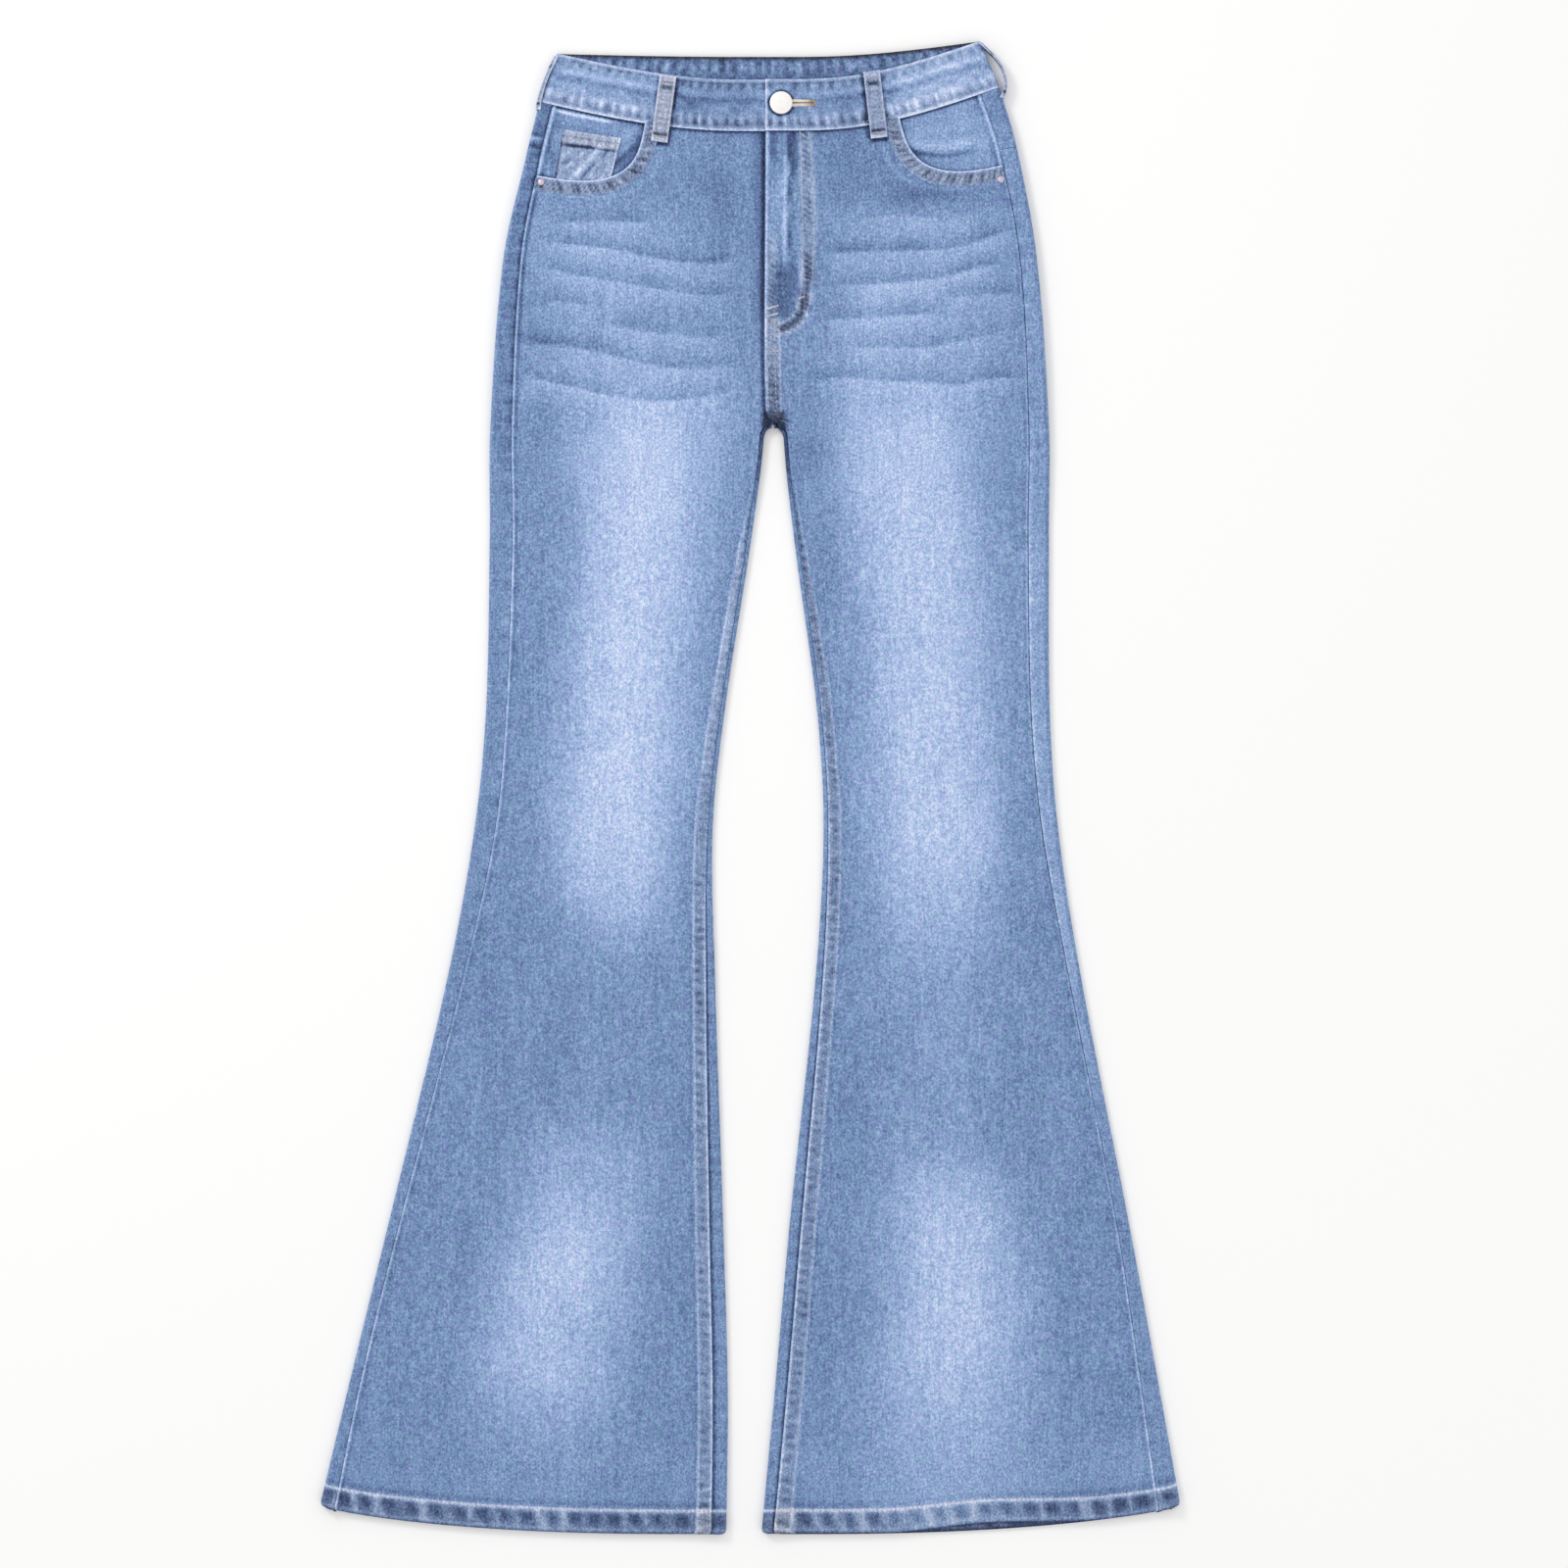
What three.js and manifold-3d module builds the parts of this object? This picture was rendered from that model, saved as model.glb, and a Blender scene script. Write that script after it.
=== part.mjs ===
// Flared five-pocket jeans in stretch denim, laid out flat on their back, fly up.
// Millimetres. +Y runs from the hems to the waist and +Z up from the table. Right and left
// are the wearer's, so the right leg lies at -X. The cloth is a closed wall: front panels lie
// on back panels, whose edges roll over the sides to the seams that show beside the fronts.

import * as THREE from "three";
import { mergeVertices } from "three/addons/utils/BufferGeometryUtils.js";
import Module from "manifold-3d";

const wasm = await Module();
wasm.setup();

// Driving dimensions
const DENIM = 1.2; // one layer of cloth
const BAND = 2; // the waistband, two layers and a stiffener
const GAP = 0.3; // between pieces at a seam, and between layers that lie on each other
const FOLD_REACH = 2.6; // how far in from an edge the rolled fold reaches, seen from above
const EDGE_RISE = 1.4; // a rolled edge stands this much thicker than the middle of a leg
const EDGE_SPREAD = 14; // and the extra thickness fades over about this width
const LEG_STACK = 2.9; // back panel, a little air and front panel
const HIP_STACK = 4.2; // the same with the pocket facing between them
const BAND_STACK = 4.6; // the waistband's front and back halves, one on the other
const BAND_EDGE_RISE = 0.8;
const LAP_REACH = 41; // the lapping cloth stays raised this far past the front seam
const LAP_FADE = 32; // and comes down over this width
const LAP_START = { from: 236, to: 268 }; // the lap begins between these heights, at the fork
const SEAT_LIFT = 1.3; // the seat lies on the back pockets, this far off the table
const SEAT_RISE = { from: 190, to: 265 }; // and rises to it between these heights
const HIP_RISE = { from: 250, to: 335 }; // where the stack grows from the leg's to the hip's
const CENTRE_X = 17; // the line between the two halves of the seat
const CROTCH_Y = 272;
const ARCH_DEPTH = 8; // the rounded fork between the legs
const FORK_OPEN = 2.5; // the fronts part this far above the fork
const FORK_CLEAR = 0.7; // and keep this much further back from its folds
const HEM = 18; // height of the turned-up hem
const HEM_TURN = 0.9; // what the turned-up layer adds
const HEM_EASE = 90; // the face rises to the hem from this far above its end
const HEM_CURVE = { bend: 0.7, start: -322 }; // its rows fall faster at their outer end
const HEM_CORNER = 3; // radius of its lower corners
// Where the left front hem rides up: shares of its width, and the height it begins at.
const HEM_RIDE = { from: 0.12, full: 0.45, to: 0.72, start: -460 };
const WAIST_LAP = 14; // the right end of the waistband runs this far under the left end
const WAIST_TOP = { front: 533.8, back: 551.3 }; // height of its upper edge in the middle
const FLY_LAP = 6; // and the right front this far under the left front
const FLY_LAP_END = { from: 282, to: 300 }; // down to these heights, below the zip
const BUTTON = { x: 23.3, y: 515.8, radius: 8.5, shank: 2.5, thick: 3 };
const SLIT = { end: 48.5, width: 1, eyelet: 2.9 }; // the buttonhole, from the button outwards
const BAND_LAP_FADE = { from: 3.5, to: 35 }; // past it the lapping end comes down over this width
const RIVET = { radius: 2.3, thick: 1.1 };
const LOOP = { width: 12.5, thick: 1, bow: 1.3 };
const FACING = { under: 6.5, across: 112, bottom: 432 }; // reach of the cloth behind a pocket mouth
const COIN_POCKET = { thick: 1, topOuter: [-141, 496.5], topInner: [-97.3, 489.9] };
const COIN_POCKET_FOOT = { outer: [-148, 456], inner: [-107, 452] };
const BACK_POCKET = { width: 146, depth: 152, point: 26, taper: 7, top: 432, thick: 1 };
const ZIP = { x: 16, width: 28, bottom: 344, top: 492, thick: 1.2 };

// How finely the walls are divided
const FORK_TOP = 6; // rows lie close together from this far above the crotch
const FORK_ROWS = [FORK_OPEN, 0, -1.5, -4]; // at these heights over it
const HIP_ROWS = { front: 25, back: 9 };
const SHIN_ROWS = 14;
const HEM_STEP = 0.5; // a row this far below the top of the turned-up hem, and one this high in it
const HEM_MIDDLE = 3.5;
const YOKE_ROWS = 4;
const FRONT_COLUMNS = 8;
const LAST_COLUMN = 0.92; // the last of them but one, as a share of the panel's width
const FOLD_STEPS = 5;
const SEAT_COLUMNS = { flat: 5, toSeam: 6 };
const BAND_COLUMNS = { left: 13, right: 11, back: 8 };
const FACING_GRID = { rows: 8, columns: 7 };
const COIN_GRID = 4;
const LOOP_ROWS = 8;
const MOUTH_STEPS = 18;
const MOUTH_CUT = { past: 30, depth: 30, low: -10 }; // the block that cuts a pocket mouth out
const SLIT_CUT = 10; // and the depth of the one that cuts the buttonhole

// One row for each cross-section of a leg, from the waistband seam to the hem. y: the row at its
// outer end. outer, inner: x of the two folded edges. frontFall, backFall: how far the front and
// back rows fall from the outer end to the inner. sideTurn, inseamTurn: how far the side seam
// and the inseam lie in from the folded edge.
const RIGHT_SECTIONS = [
  { y: 517, outer: -159, inner: 12, frontFall: 22, backFall: 4, sideTurn: 10, inseamTurn: 3 },
  { y: 472, outer: -170, inner: 12, frontFall: 11, backFall: 27, sideTurn: 10.5, inseamTurn: 3 },
  { y: 400, outer: -186, inner: 12, frontFall: 0, backFall: 5, sideTurn: 13, inseamTurn: 3 },
  { y: 272, outer: -196, inner: 10.7, frontFall: 0, backFall: 0, sideTurn: 16, inseamTurn: 3 },
  { y: 190, outer: -196.5, inner: 1, frontFall: 0, backFall: 0, sideTurn: 17, inseamTurn: 3 },
  { y: 56, outer: -199.5, inner: -19.6, frontFall: 0, backFall: 0, sideTurn: 15, inseamTurn: 3 },
  { y: -33, outer: -208.3, inner: -28.5, frontFall: 0, backFall: 0, sideTurn: 15.5, inseamTurn: 3.4 },
  { y: -144, outer: -228.6, inner: -26.5, frontFall: 1, backFall: 1, sideTurn: 11.5, inseamTurn: 6.5 },
  { y: -322, outer: -271.3, inner: -20.5, frontFall: 5, backFall: 5, sideTurn: 8, inseamTurn: 10 },
  { y: -441, outer: -300.5, inner: -17, frontFall: 13, backFall: 13, sideTurn: 7.5, inseamTurn: 11 },
  { y: -541, outer: -324.5, inner: -18, frontFall: 21.5, backFall: 21.5, sideTurn: 10.5, inseamTurn: 11 },
];
const LEFT_SECTIONS = [
  { y: 528, outer: 188, inner: 24, frontFall: 33, backFall: 15, sideTurn: 14, inseamTurn: 3 },
  { y: 483, outer: 201, inner: 24, frontFall: 16, backFall: 38, sideTurn: 13, inseamTurn: 3 },
  { y: 400, outer: 216, inner: 24, frontFall: 0, backFall: 6, sideTurn: 12.5, inseamTurn: 3 },
  { y: 272, outer: 225.3, inner: 24.8, frontFall: 0, backFall: 0, sideTurn: 15, inseamTurn: 3 },
  { y: 190, outer: 225.3, inner: 32.9, frontFall: 0, backFall: 0, sideTurn: 15.5, inseamTurn: 3 },
  { y: 56, outer: 226.1, inner: 50.7, frontFall: 0, backFall: 0, sideTurn: 14, inseamTurn: 3 },
  { y: -33, outer: 232.5, inner: 55.4, frontFall: 0, backFall: 0, sideTurn: 12, inseamTurn: 3.2 },
  { y: -144, outer: 249.8, inner: 49.2, frontFall: 1, backFall: 1, sideTurn: 9, inseamTurn: 5.2 },
  { y: -322, outer: 284.5, inner: 30, frontFall: 5, backFall: 5, sideTurn: 9, inseamTurn: 8.5 },
  { y: -441, outer: 306.5, inner: 18.6, frontFall: 13, backFall: 13, sideTurn: 12.5, inseamTurn: 9 },
  { y: -541, outer: 324.5, inner: 8.5, frontFall: 21, backFall: 22, sideTurn: 16, inseamTurn: 9 },
];
// The front seam, where the left front laps over the right: fly first, then the crotch seam.
const FRONT_SEAM = [
  { y: 560, x: 11.5 },
  { y: 495, x: 11.5 },
  { y: 342, x: 10.6 },
  { y: 300, x: 11.2 },
  { y: 281, x: 12.6 },
  { y: 274, x: 17 },
];
// What differs between the sides. hemRise: how far the front hem rides up over the back hem.
// The pocket mouth is a rounded corner cut out of the front: corner is where its sides would
// meet, tilt its turn with the waist, across and deep its two sides.
const RIGHT = {
  name: "right",
  sections: RIGHT_SECTIONS,
  waistTop: { x: -146, y: 553.5 },
  hemRise: 0,
  mouth: { corner: [-160, 514], tilt: -0.183, across: 82, deep: 52, bend: 3.1 },
  rivet: [-157.5, 456.5],
};
const LEFT = {
  name: "left",
  sections: LEFT_SECTIONS,
  waistTop: { x: 173.5, y: 563 },
  hemRise: 5,
  mouth: { corner: [192, 524], tilt: 0.24, across: -82, deep: 53, bend: 3.1 },
  rivet: [189, 458.5],
};
const YOKE_ROW = 1; // the row of the section tables that the yoke seam follows
// The soft creases over the hips, each a low ridge between two places.
const CREASES = [
  { outerX: -140, outerY: 417, innerX: -74, innerY: 413, rise: 0.4 },
  { outerX: -167, outerY: 398, innerX: -28, innerY: 373, rise: 0.6 },
  { outerX: -147, outerY: 346, innerX: -22, innerY: 317, rise: 0.6 },
  { outerX: -167, outerY: 314, innerX: -22, innerY: 297, rise: 0.7 },
  { outerX: 196, outerY: 424, innerX: 67, innerY: 411, rise: 0.5 },
  { outerX: 185, outerY: 397, innerX: 64, innerY: 383, rise: 0.6 },
  { outerX: 192, outerY: 368, innerX: 68, innerY: 358, rise: 0.5 },
  { outerX: 177, outerY: 343, innerX: 77, innerY: 335, rise: 0.4 },
  { outerX: 207, outerY: 315, innerX: 48, innerY: 314, rise: 0.7 },
];
const CREASE_WIDTH = 7;
const CREASE_END = 22; // a crease fades out over this length
const BACK_LOOP = { foot: 503, top: 551 };
const FRONT_LOOPS = [
  { side: "right", foot: [-68.5, 486.9], top: [-61.8, 536.5] },
  { side: "left", foot: [97.3, 489.9], top: [91.4, 540.2] },
];
// The loops at the sides wrap round the folded waistband. stand: how far the middle of a loop
// stands off it, spare: how much less than at its ends it wraps round there.
const SIDE_LOOPS = [
  { side: "right", foot: 511, top: 551.3, stand: 1.5, spare: 0.5 },
  { side: "left", foot: 520, top: 561.5, stand: 7.6, spare: 2.7 },
];

const lerp = (a, b, t) => a + (b - a) * t;
const clamp = (x) => Math.min(1, Math.max(0, x));
const smooth = (from, to, x) => {
  const t = clamp((x - from) / (to - from));
  return t * t * (3 - 2 * t);
};
const steps = (from, to, count) =>
  Array.from({ length: count + 1 }, (_, i) => lerp(from, to, i / count));
// A row's fall from its outer end: steep at first, level towards the middle.
const fall = (t, bend = 1) => Math.sin((clamp(1.15 * t) ** bend * Math.PI) / 2);

// A table's column at height y, as one smooth curve through its rows.
function columnAt(table, name, y) {
  const last = table.length - 1;
  const slope = (i) => {
    const a = table[Math.max(0, i - 1)];
    const b = table[Math.min(last, i + 1)];
    return (b[name] - a[name]) / (b.y - a.y);
  };
  let i = 0;
  while (i < last - 1 && y < table[i + 1].y) i++;
  const [p, q] = [table[i], table[i + 1]];
  const span = q.y - p.y;
  const t = clamp((y - p.y) / span);
  const keepStart = (1 + 2 * t) * (1 - t) ** 2;
  const bend = t * (1 - t) ** 2 * slope(i) - t * t * (1 - t) * slope(i + 1);
  return keepStart * p[name] + (1 - keepStart) * q[name] + bend * span;
}

const hemOf = (leg) => leg.sections.at(-1).y;
const sectionSign = (leg) => (leg === RIGHT ? 1 : -1); // the way from the outer edge inwards

// A leg's cross-section at height y. Below the crotch its inner edge is a fold of its own,
// which swings away from the middle round the arch of the fork.
function sectionAt(leg, y) {
  const column = (name) => columnAt(leg.sections, name, y);
  const depth = clamp((CROTCH_Y - y) / ARCH_DEPTH);
  const arch = Math.sqrt(1 - (1 - depth) ** 2);
  const middle = CENTRE_X - (sectionSign(leg) * GAP) / 2;
  const low = clamp((hemOf(leg) + HEM_CORNER - y) / HEM_CORNER);
  const corner = sectionSign(leg) * HEM_CORNER * (1 - Math.sqrt(1 - low ** 2));
  return {
    y,
    outer: column("outer") + corner,
    inner: lerp(middle, column("inner"), arch) - corner,
    bend: lerp(1, HEM_CURVE.bend, smooth(HEM_CURVE.start, hemOf(leg), y)),
    frontFall: column("frontFall"),
    backFall: column("backFall"),
    sideTurn: column("sideTurn"),
    inseamTurn: column("inseamTurn"),
    forked: y <= CROTCH_Y,
    open: y <= CROTCH_Y + FORK_OPEN,
  };
}

const underside = (y) => SEAT_LIFT * smooth(SEAT_RISE.from, SEAT_RISE.to, y);
// How thick the garment lies at a row, without its rolled edges. The hem's own turn is extra.
function stackAt(leg, y) {
  const hip = lerp(LEG_STACK, HIP_STACK, smooth(HIP_RISE.from, HIP_RISE.to, y));
  return hip + HEM_TURN * smooth(hemOf(leg) + HEM_EASE, hemOf(leg) + HEM, y);
}

// Height of the front's face above the table, reach in from the nearest folded edge.
const faceZ = (leg, y, reach) =>
  underside(y) + stackAt(leg, y) + EDGE_RISE * Math.exp(-Math.max(reach, FOLD_REACH) / EDGE_SPREAD);

function rowY(section, x, which) {
  const t = (x - section.outer) / (section.inner - section.outer);
  return section.y - section[which] * fall(t, section.bend);
}

// The left front lies on the right front along the seam in the middle.
function lapLift(x, y) {
  const past = x - columnAt(FRONT_SEAM, "x", y);
  const across = 1 - smooth(LAP_REACH, LAP_REACH + LAP_FADE, past);
  return (DENIM + GAP) * across * smooth(LAP_START.from, LAP_START.to, y);
}

// The height of the hip creases at a place.
function creaseLift(x, y) {
  let lift = 0;
  for (const { outerX, outerY, innerX, innerY, rise } of CREASES) {
    const along = new THREE.Vector2(innerX - outerX, innerY - outerY);
    const length = along.length();
    along.normalize();
    const place = new THREE.Vector2(x - outerX, y - outerY);
    const at = place.dot(along);
    const ends = smooth(-CREASE_END / 2, CREASE_END / 2, at);
    const far = 1 - smooth(length - CREASE_END / 2, length + CREASE_END / 2, at);
    lift += rise * ends * far * Math.exp(-((place.cross(along) / CREASE_WIDTH) ** 2));
  }
  return lift;
}

// A point of a leg's face at row y and x, on the front.
function facePoint(leg, y, x) {
  const section = sectionAt(leg, y);
  const reach = Math.min(
    Math.abs(x - section.outer),
    section.forked ? Math.abs(x - section.inner) : Infinity,
  );
  const lap = leg === LEFT ? lapLift(x, y) : 0;
  const placeY = rowY(section, x, "frontFall");
  return new THREE.Vector3(x, placeY, faceZ(leg, y, reach) + lap + creaseLift(x, placeY));
}

// The face above any place on the table: the row through it is found by stepping to it.
function faceAbove(leg, x, y) {
  let row = y;
  for (let i = 0; i < 6; i++) row += y - facePoint(leg, row, x).y;
  return facePoint(leg, row, x);
}

// A closed wall of cloth: points[i][j] lie on its outer face, thickness(i, j) below them is the
// inner face. outward tells which way the outer face looks at the first point.
function wall(points, thickness, outward = new THREE.Vector3(0, 0, 1)) {
  const rows = points.length;
  const columns = points[0].length;
  const at = (i, j) =>
    points[Math.min(rows - 1, Math.max(0, i))][Math.min(columns - 1, Math.max(0, j))];
  const normalAt = (i, j) => {
    const along = at(i + 1, j).clone().sub(at(i - 1, j));
    const across = at(i, j + 1).clone().sub(at(i, j - 1));
    const normal = along.cross(across);
    if (i === 0 || i === rows - 1) normal.y = 0; // its edges are cut square
    if (j === 0 || j === columns - 1) normal.x = 0;
    return normal.normalize();
  };
  const turned = normalAt(0, 0).dot(outward) < 0 ? -1 : 1;
  const inner = points.map((row, i) =>
    row.map((p, j) => p.clone().addScaledVector(normalAt(i, j), -turned * thickness(i, j))),
  );
  const vertices = [...points.flat(), ...inner.flat()];
  const outerAt = (i, j) => i * columns + j;
  const innerAt = (i, j) => rows * columns + outerAt(i, j);
  const faces = [];
  const quad = (a, b, c, d) => faces.push(a, b, c, a, c, d);
  for (let i = 0; i < rows - 1; i++)
    for (let j = 0; j < columns - 1; j++) {
      quad(outerAt(i, j), outerAt(i + 1, j), outerAt(i + 1, j + 1), outerAt(i, j + 1));
      quad(innerAt(i, j), innerAt(i, j + 1), innerAt(i + 1, j + 1), innerAt(i + 1, j));
    }
  for (let i = 0; i < rows - 1; i++) {
    quad(outerAt(i, 0), innerAt(i, 0), innerAt(i + 1, 0), outerAt(i + 1, 0));
    const j = columns - 1;
    quad(outerAt(i, j), outerAt(i + 1, j), innerAt(i + 1, j), innerAt(i, j));
  }
  for (let j = 0; j < columns - 1; j++) {
    quad(outerAt(0, j), outerAt(0, j + 1), innerAt(0, j + 1), innerAt(0, j));
    const i = rows - 1;
    quad(outerAt(i, j), innerAt(i, j), innerAt(i, j + 1), outerAt(i, j + 1));
  }
  if (turned < 0) faces.reverse();
  const geometry = new THREE.BufferGeometry().setFromPoints(vertices);
  geometry.setIndex(faces);
  return geometry;
}

// The two geometries as solids, joined or cut by the named operation.
function carved(geometry, other, operation) {
  const solid = (g) => {
    const bare = new THREE.BufferGeometry().setAttribute("position", g.getAttribute("position"));
    if (g.index) bare.setIndex(g.index);
    const merged = mergeVertices(bare, 1e-4);
    return new wasm.Manifold(
      new wasm.Mesh({
        numProp: 3,
        vertProperties: new Float32Array(merged.attributes.position.array),
        triVerts: new Uint32Array(merged.index.array),
      }),
    );
  };
  const made = solid(geometry)[operation](solid(other)).getMesh();
  const result = new THREE.BufferGeometry();
  result.setAttribute("position", new THREE.BufferAttribute(made.vertProperties, made.numProp));
  result.setIndex(new THREE.BufferAttribute(made.triVerts, 1));
  return result;
}

// Materials
const denim = (colour) =>
  new THREE.MeshStandardMaterial({ color: colour, roughness: 0.92, metalness: 0 });
const FRONT_DENIM = denim(0x7e9fcf);
const BACK_DENIM = denim(0x6f92c4);
const BAND_DENIM = denim(0x7797c6);
const POCKET_DENIM = denim(0x7394c8);
const ZIP_TAPE = denim(0x56657e);
const PALE_METAL = new THREE.MeshStandardMaterial({
  color: 0xe9e2d8,
  roughness: 0.3,
  metalness: 0.9,
});
const PINK_METAL = new THREE.MeshStandardMaterial({
  color: 0xd6b0a6,
  roughness: 0.4,
  metalness: 0.8,
});

const jeans = new THREE.Group();
function add(name, geometry, material) {
  const mesh = new THREE.Mesh(geometry, material);
  mesh.name = name;
  jeans.add(mesh);
}

// Rows of a leg from the given top row to the hem: close at the fork and at the hem's step.
function legRows(leg, top, hipRows) {
  const hem = hemOf(leg);
  return [
    ...steps(top, CROTCH_Y + FORK_TOP, hipRows),
    ...FORK_ROWS.map((over) => CROTCH_Y + over),
    ...steps(CROTCH_Y - ARCH_DEPTH, hem + HEM + 2, SHIN_ROWS),
    hem + HEM - HEM_STEP,
    hem + HEM_MIDDLE,
    hem,
  ];
}
const inHem = (leg, y) => y < hemOf(leg) + HEM;

// The rounded cut-out of a pocket mouth, as an outline seen from above.
function mouthOutline({ corner, tilt, across, deep, bend }, shrink = 0) {
  const points = steps(0, Math.PI / 2, MOUTH_STEPS).map((a) => {
    const u = (across - Math.sign(across) * shrink) * Math.cos(a) ** (2 / bend);
    const v = -(deep - shrink) * Math.sin(a) ** (2 / bend);
    return [u, v];
  });
  const { past } = MOUTH_CUT; // it runs out over the waist and the side
  const start = -Math.sign(across) * past;
  const outline = [[points[0][0], past], ...points, [start, points.at(-1)[1]], [start, past]];
  return outline.map(([u, v]) => {
    const turned = new THREE.Vector2(u, v).rotateAround(new THREE.Vector2(), tilt);
    return turned.add(new THREE.Vector2(...corner));
  });
}
function mouthBlock(leg, shrink) {
  const shape = new THREE.Shape(mouthOutline(leg.mouth, shrink));
  const { depth, low } = MOUTH_CUT;
  return new THREE.ExtrudeGeometry(shape, { depth, bevelEnabled: false }).translate(0, 0, low);
}

// Front panel: from the side seam to the front seam, then to the inseam, with the pocket mouth
// cut out of its upper corner and its hem turned up.
function frontPanel(leg) {
  const sign = sectionSign(leg);
  const rows = legRows(leg, leg.sections[0].y - GAP / 2, HIP_ROWS.front);
  const shares = [...steps(0, LAST_COLUMN, FRONT_COLUMNS), 1];
  const points = rows.map((y) => {
    const section = sectionAt(leg, y);
    const start = section.outer + sign * (section.sideTurn + GAP / 2);
    const under = FLY_LAP * smooth(FLY_LAP_END.from, FLY_LAP_END.to, y);
    const lap = leg === RIGHT ? under - GAP / 2 : GAP / 2;
    const seam = columnAt(FRONT_SEAM, "x", section.y - section.frontFall) + lap;
    const clear = GAP / 2 + FORK_CLEAR * smooth(CROTCH_Y - ARCH_DEPTH, CROTCH_Y - 4, y);
    const inseam = section.inner - sign * (section.inseamTurn + clear);
    const end = section.open ? inseam : seam;
    const turn = inHem(leg, y) ? HEM_TURN : 0;
    return shares.map((share) => {
      const p = facePoint(leg, y, lerp(start, end, share));
      const { from, full, to, start: top } = HEM_RIDE;
      const ride = smooth(from, full, share) * (1 - smooth(full, to, share));
      p.y += leg.hemRise * ride * smooth(top, hemOf(leg), y);
      p.z += turn;
      return p;
    });
  });
  const thickness = (i) => DENIM + (inHem(leg, rows[i]) ? HEM_TURN : 0);
  const panel = wall(points, thickness);
  return carved(panel, mouthBlock(leg, 0), "subtract");
}

// One row of the back: over the side from the side seam, flat on the table, and below the
// crotch over the inner edge to the inseam. Above the crotch it ends at the seat seam.
function backRow(leg, y) {
  const section = sectionAt(leg, y);
  const sign = sectionSign(leg);
  const low = underside(y);
  const turned = inHem(leg, y) ? HEM_TURN : 0;
  const half = (faceZ(leg, y, FOLD_REACH) + turned - low) / 2;
  const width = Math.abs(section.inner - section.outer);
  const onTop = (reach, x) =>
    new THREE.Vector3(x, rowY(section, x, "frontFall"), faceZ(leg, y, reach) + turned);
  const onTable = (x) => new THREE.Vector3(x, rowY(section, x, "backFall"), low);
  const round = (angle, edge, way) => {
    const x = edge + way * FOLD_REACH * (1 - Math.sin(angle));
    return new THREE.Vector3(x, rowY(section, x, "frontFall"), low + half * (1 + Math.cos(angle)));
  };
  const strip = steps(section.sideTurn - GAP / 2, FOLD_REACH, 2)
    .slice(0, -1)
    .map((reach) => onTop(reach, section.outer + sign * reach));
  const outerFold = steps(0, Math.PI, FOLD_STEPS).map((angle) => round(angle, section.outer, sign));
  const seat = section.forked ? width - FOLD_REACH : width - 2 * FOLD_REACH;
  const flat = steps(FOLD_REACH, seat, SEAT_COLUMNS.flat)
    .slice(1, -1)
    .map((reach) => onTable(section.outer + sign * reach));
  if (section.forked) {
    const angles = steps(Math.PI, 0, FOLD_STEPS);
    const innerFold = angles.map((angle) => round(angle, section.inner, -sign));
    const reach = section.inseamTurn - GAP / 2;
    return [...strip, ...outerFold, ...flat, ...innerFold, onTop(reach, section.inner - sign * reach)];
  }
  const toSeam = steps(seat, width, SEAT_COLUMNS.toSeam).map((reach) =>
    onTable(section.outer + sign * reach),
  );
  return [...strip, ...outerFold, ...flat, ...toSeam];
}

function backPanel(leg) {
  const rows = legRows(leg, leg.sections[YOKE_ROW].y - GAP / 2, HIP_ROWS.back);
  const points = rows.map((y) => backRow(leg, y));
  return wall(points, (i) => DENIM + (inHem(leg, rows[i]) ? HEM_TURN : 0));
}

// The yoke: the wedge of the seat between the back panel and the waistband.
function yoke(leg) {
  const from = leg.sections[0].y - GAP / 2;
  const to = leg.sections[YOKE_ROW].y + GAP / 2;
  return wall(
    steps(from, to, YOKE_ROWS).map((y) => backRow(leg, y)),
    () => DENIM,
  );
}

// The cloth behind a pocket mouth, one layer below the front.
function pocketFacing(leg) {
  const sign = sectionSign(leg);
  const points = steps(leg.sections[0].y - GAP / 2, FACING.bottom, FACING_GRID.rows).map((y) => {
    const start = sectionAt(leg, y).outer + sign * FACING.under;
    return steps(start, start + sign * FACING.across, FACING_GRID.columns).map((x) => {
      const p = facePoint(leg, y, x);
      p.z -= DENIM + GAP;
      return p;
    });
  });
  return wall(points, () => DENIM);
}

// The coin pocket lies on the right facing and ends at the pocket mouth.
function coinPocket() {
  const { thick, topOuter, topInner } = COIN_POCKET;
  const points = steps(0, 1, COIN_GRID).map((v) =>
    steps(0, 1, COIN_GRID).map((u) => {
      const x = lerp(
        lerp(topOuter[0], topInner[0], u),
        lerp(COIN_POCKET_FOOT.outer[0], COIN_POCKET_FOOT.inner[0], u),
        v,
      );
      const y = lerp(
        lerp(topOuter[1], topInner[1], u),
        lerp(COIN_POCKET_FOOT.outer[1], COIN_POCKET_FOOT.inner[1], u),
        v,
      );
      const p = faceAbove(RIGHT, x, y);
      p.z += thick - DENIM;
      return p;
    }),
  );
  return carved(
    wall(points, () => thick),
    mouthBlock(RIGHT, GAP),
    "intersect",
  );
}

// Where the folded edge of the waistband lies, share of the way up from its lower edge.
const bandEdge = (leg, share) => lerp(leg.sections[0].outer, leg.waistTop.x, share);
const bandFace = (reach) =>
  SEAT_LIFT + BAND_STACK + BAND_EDGE_RISE * Math.exp(-Math.max(reach, FOLD_REACH) / EDGE_SPREAD);

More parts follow.
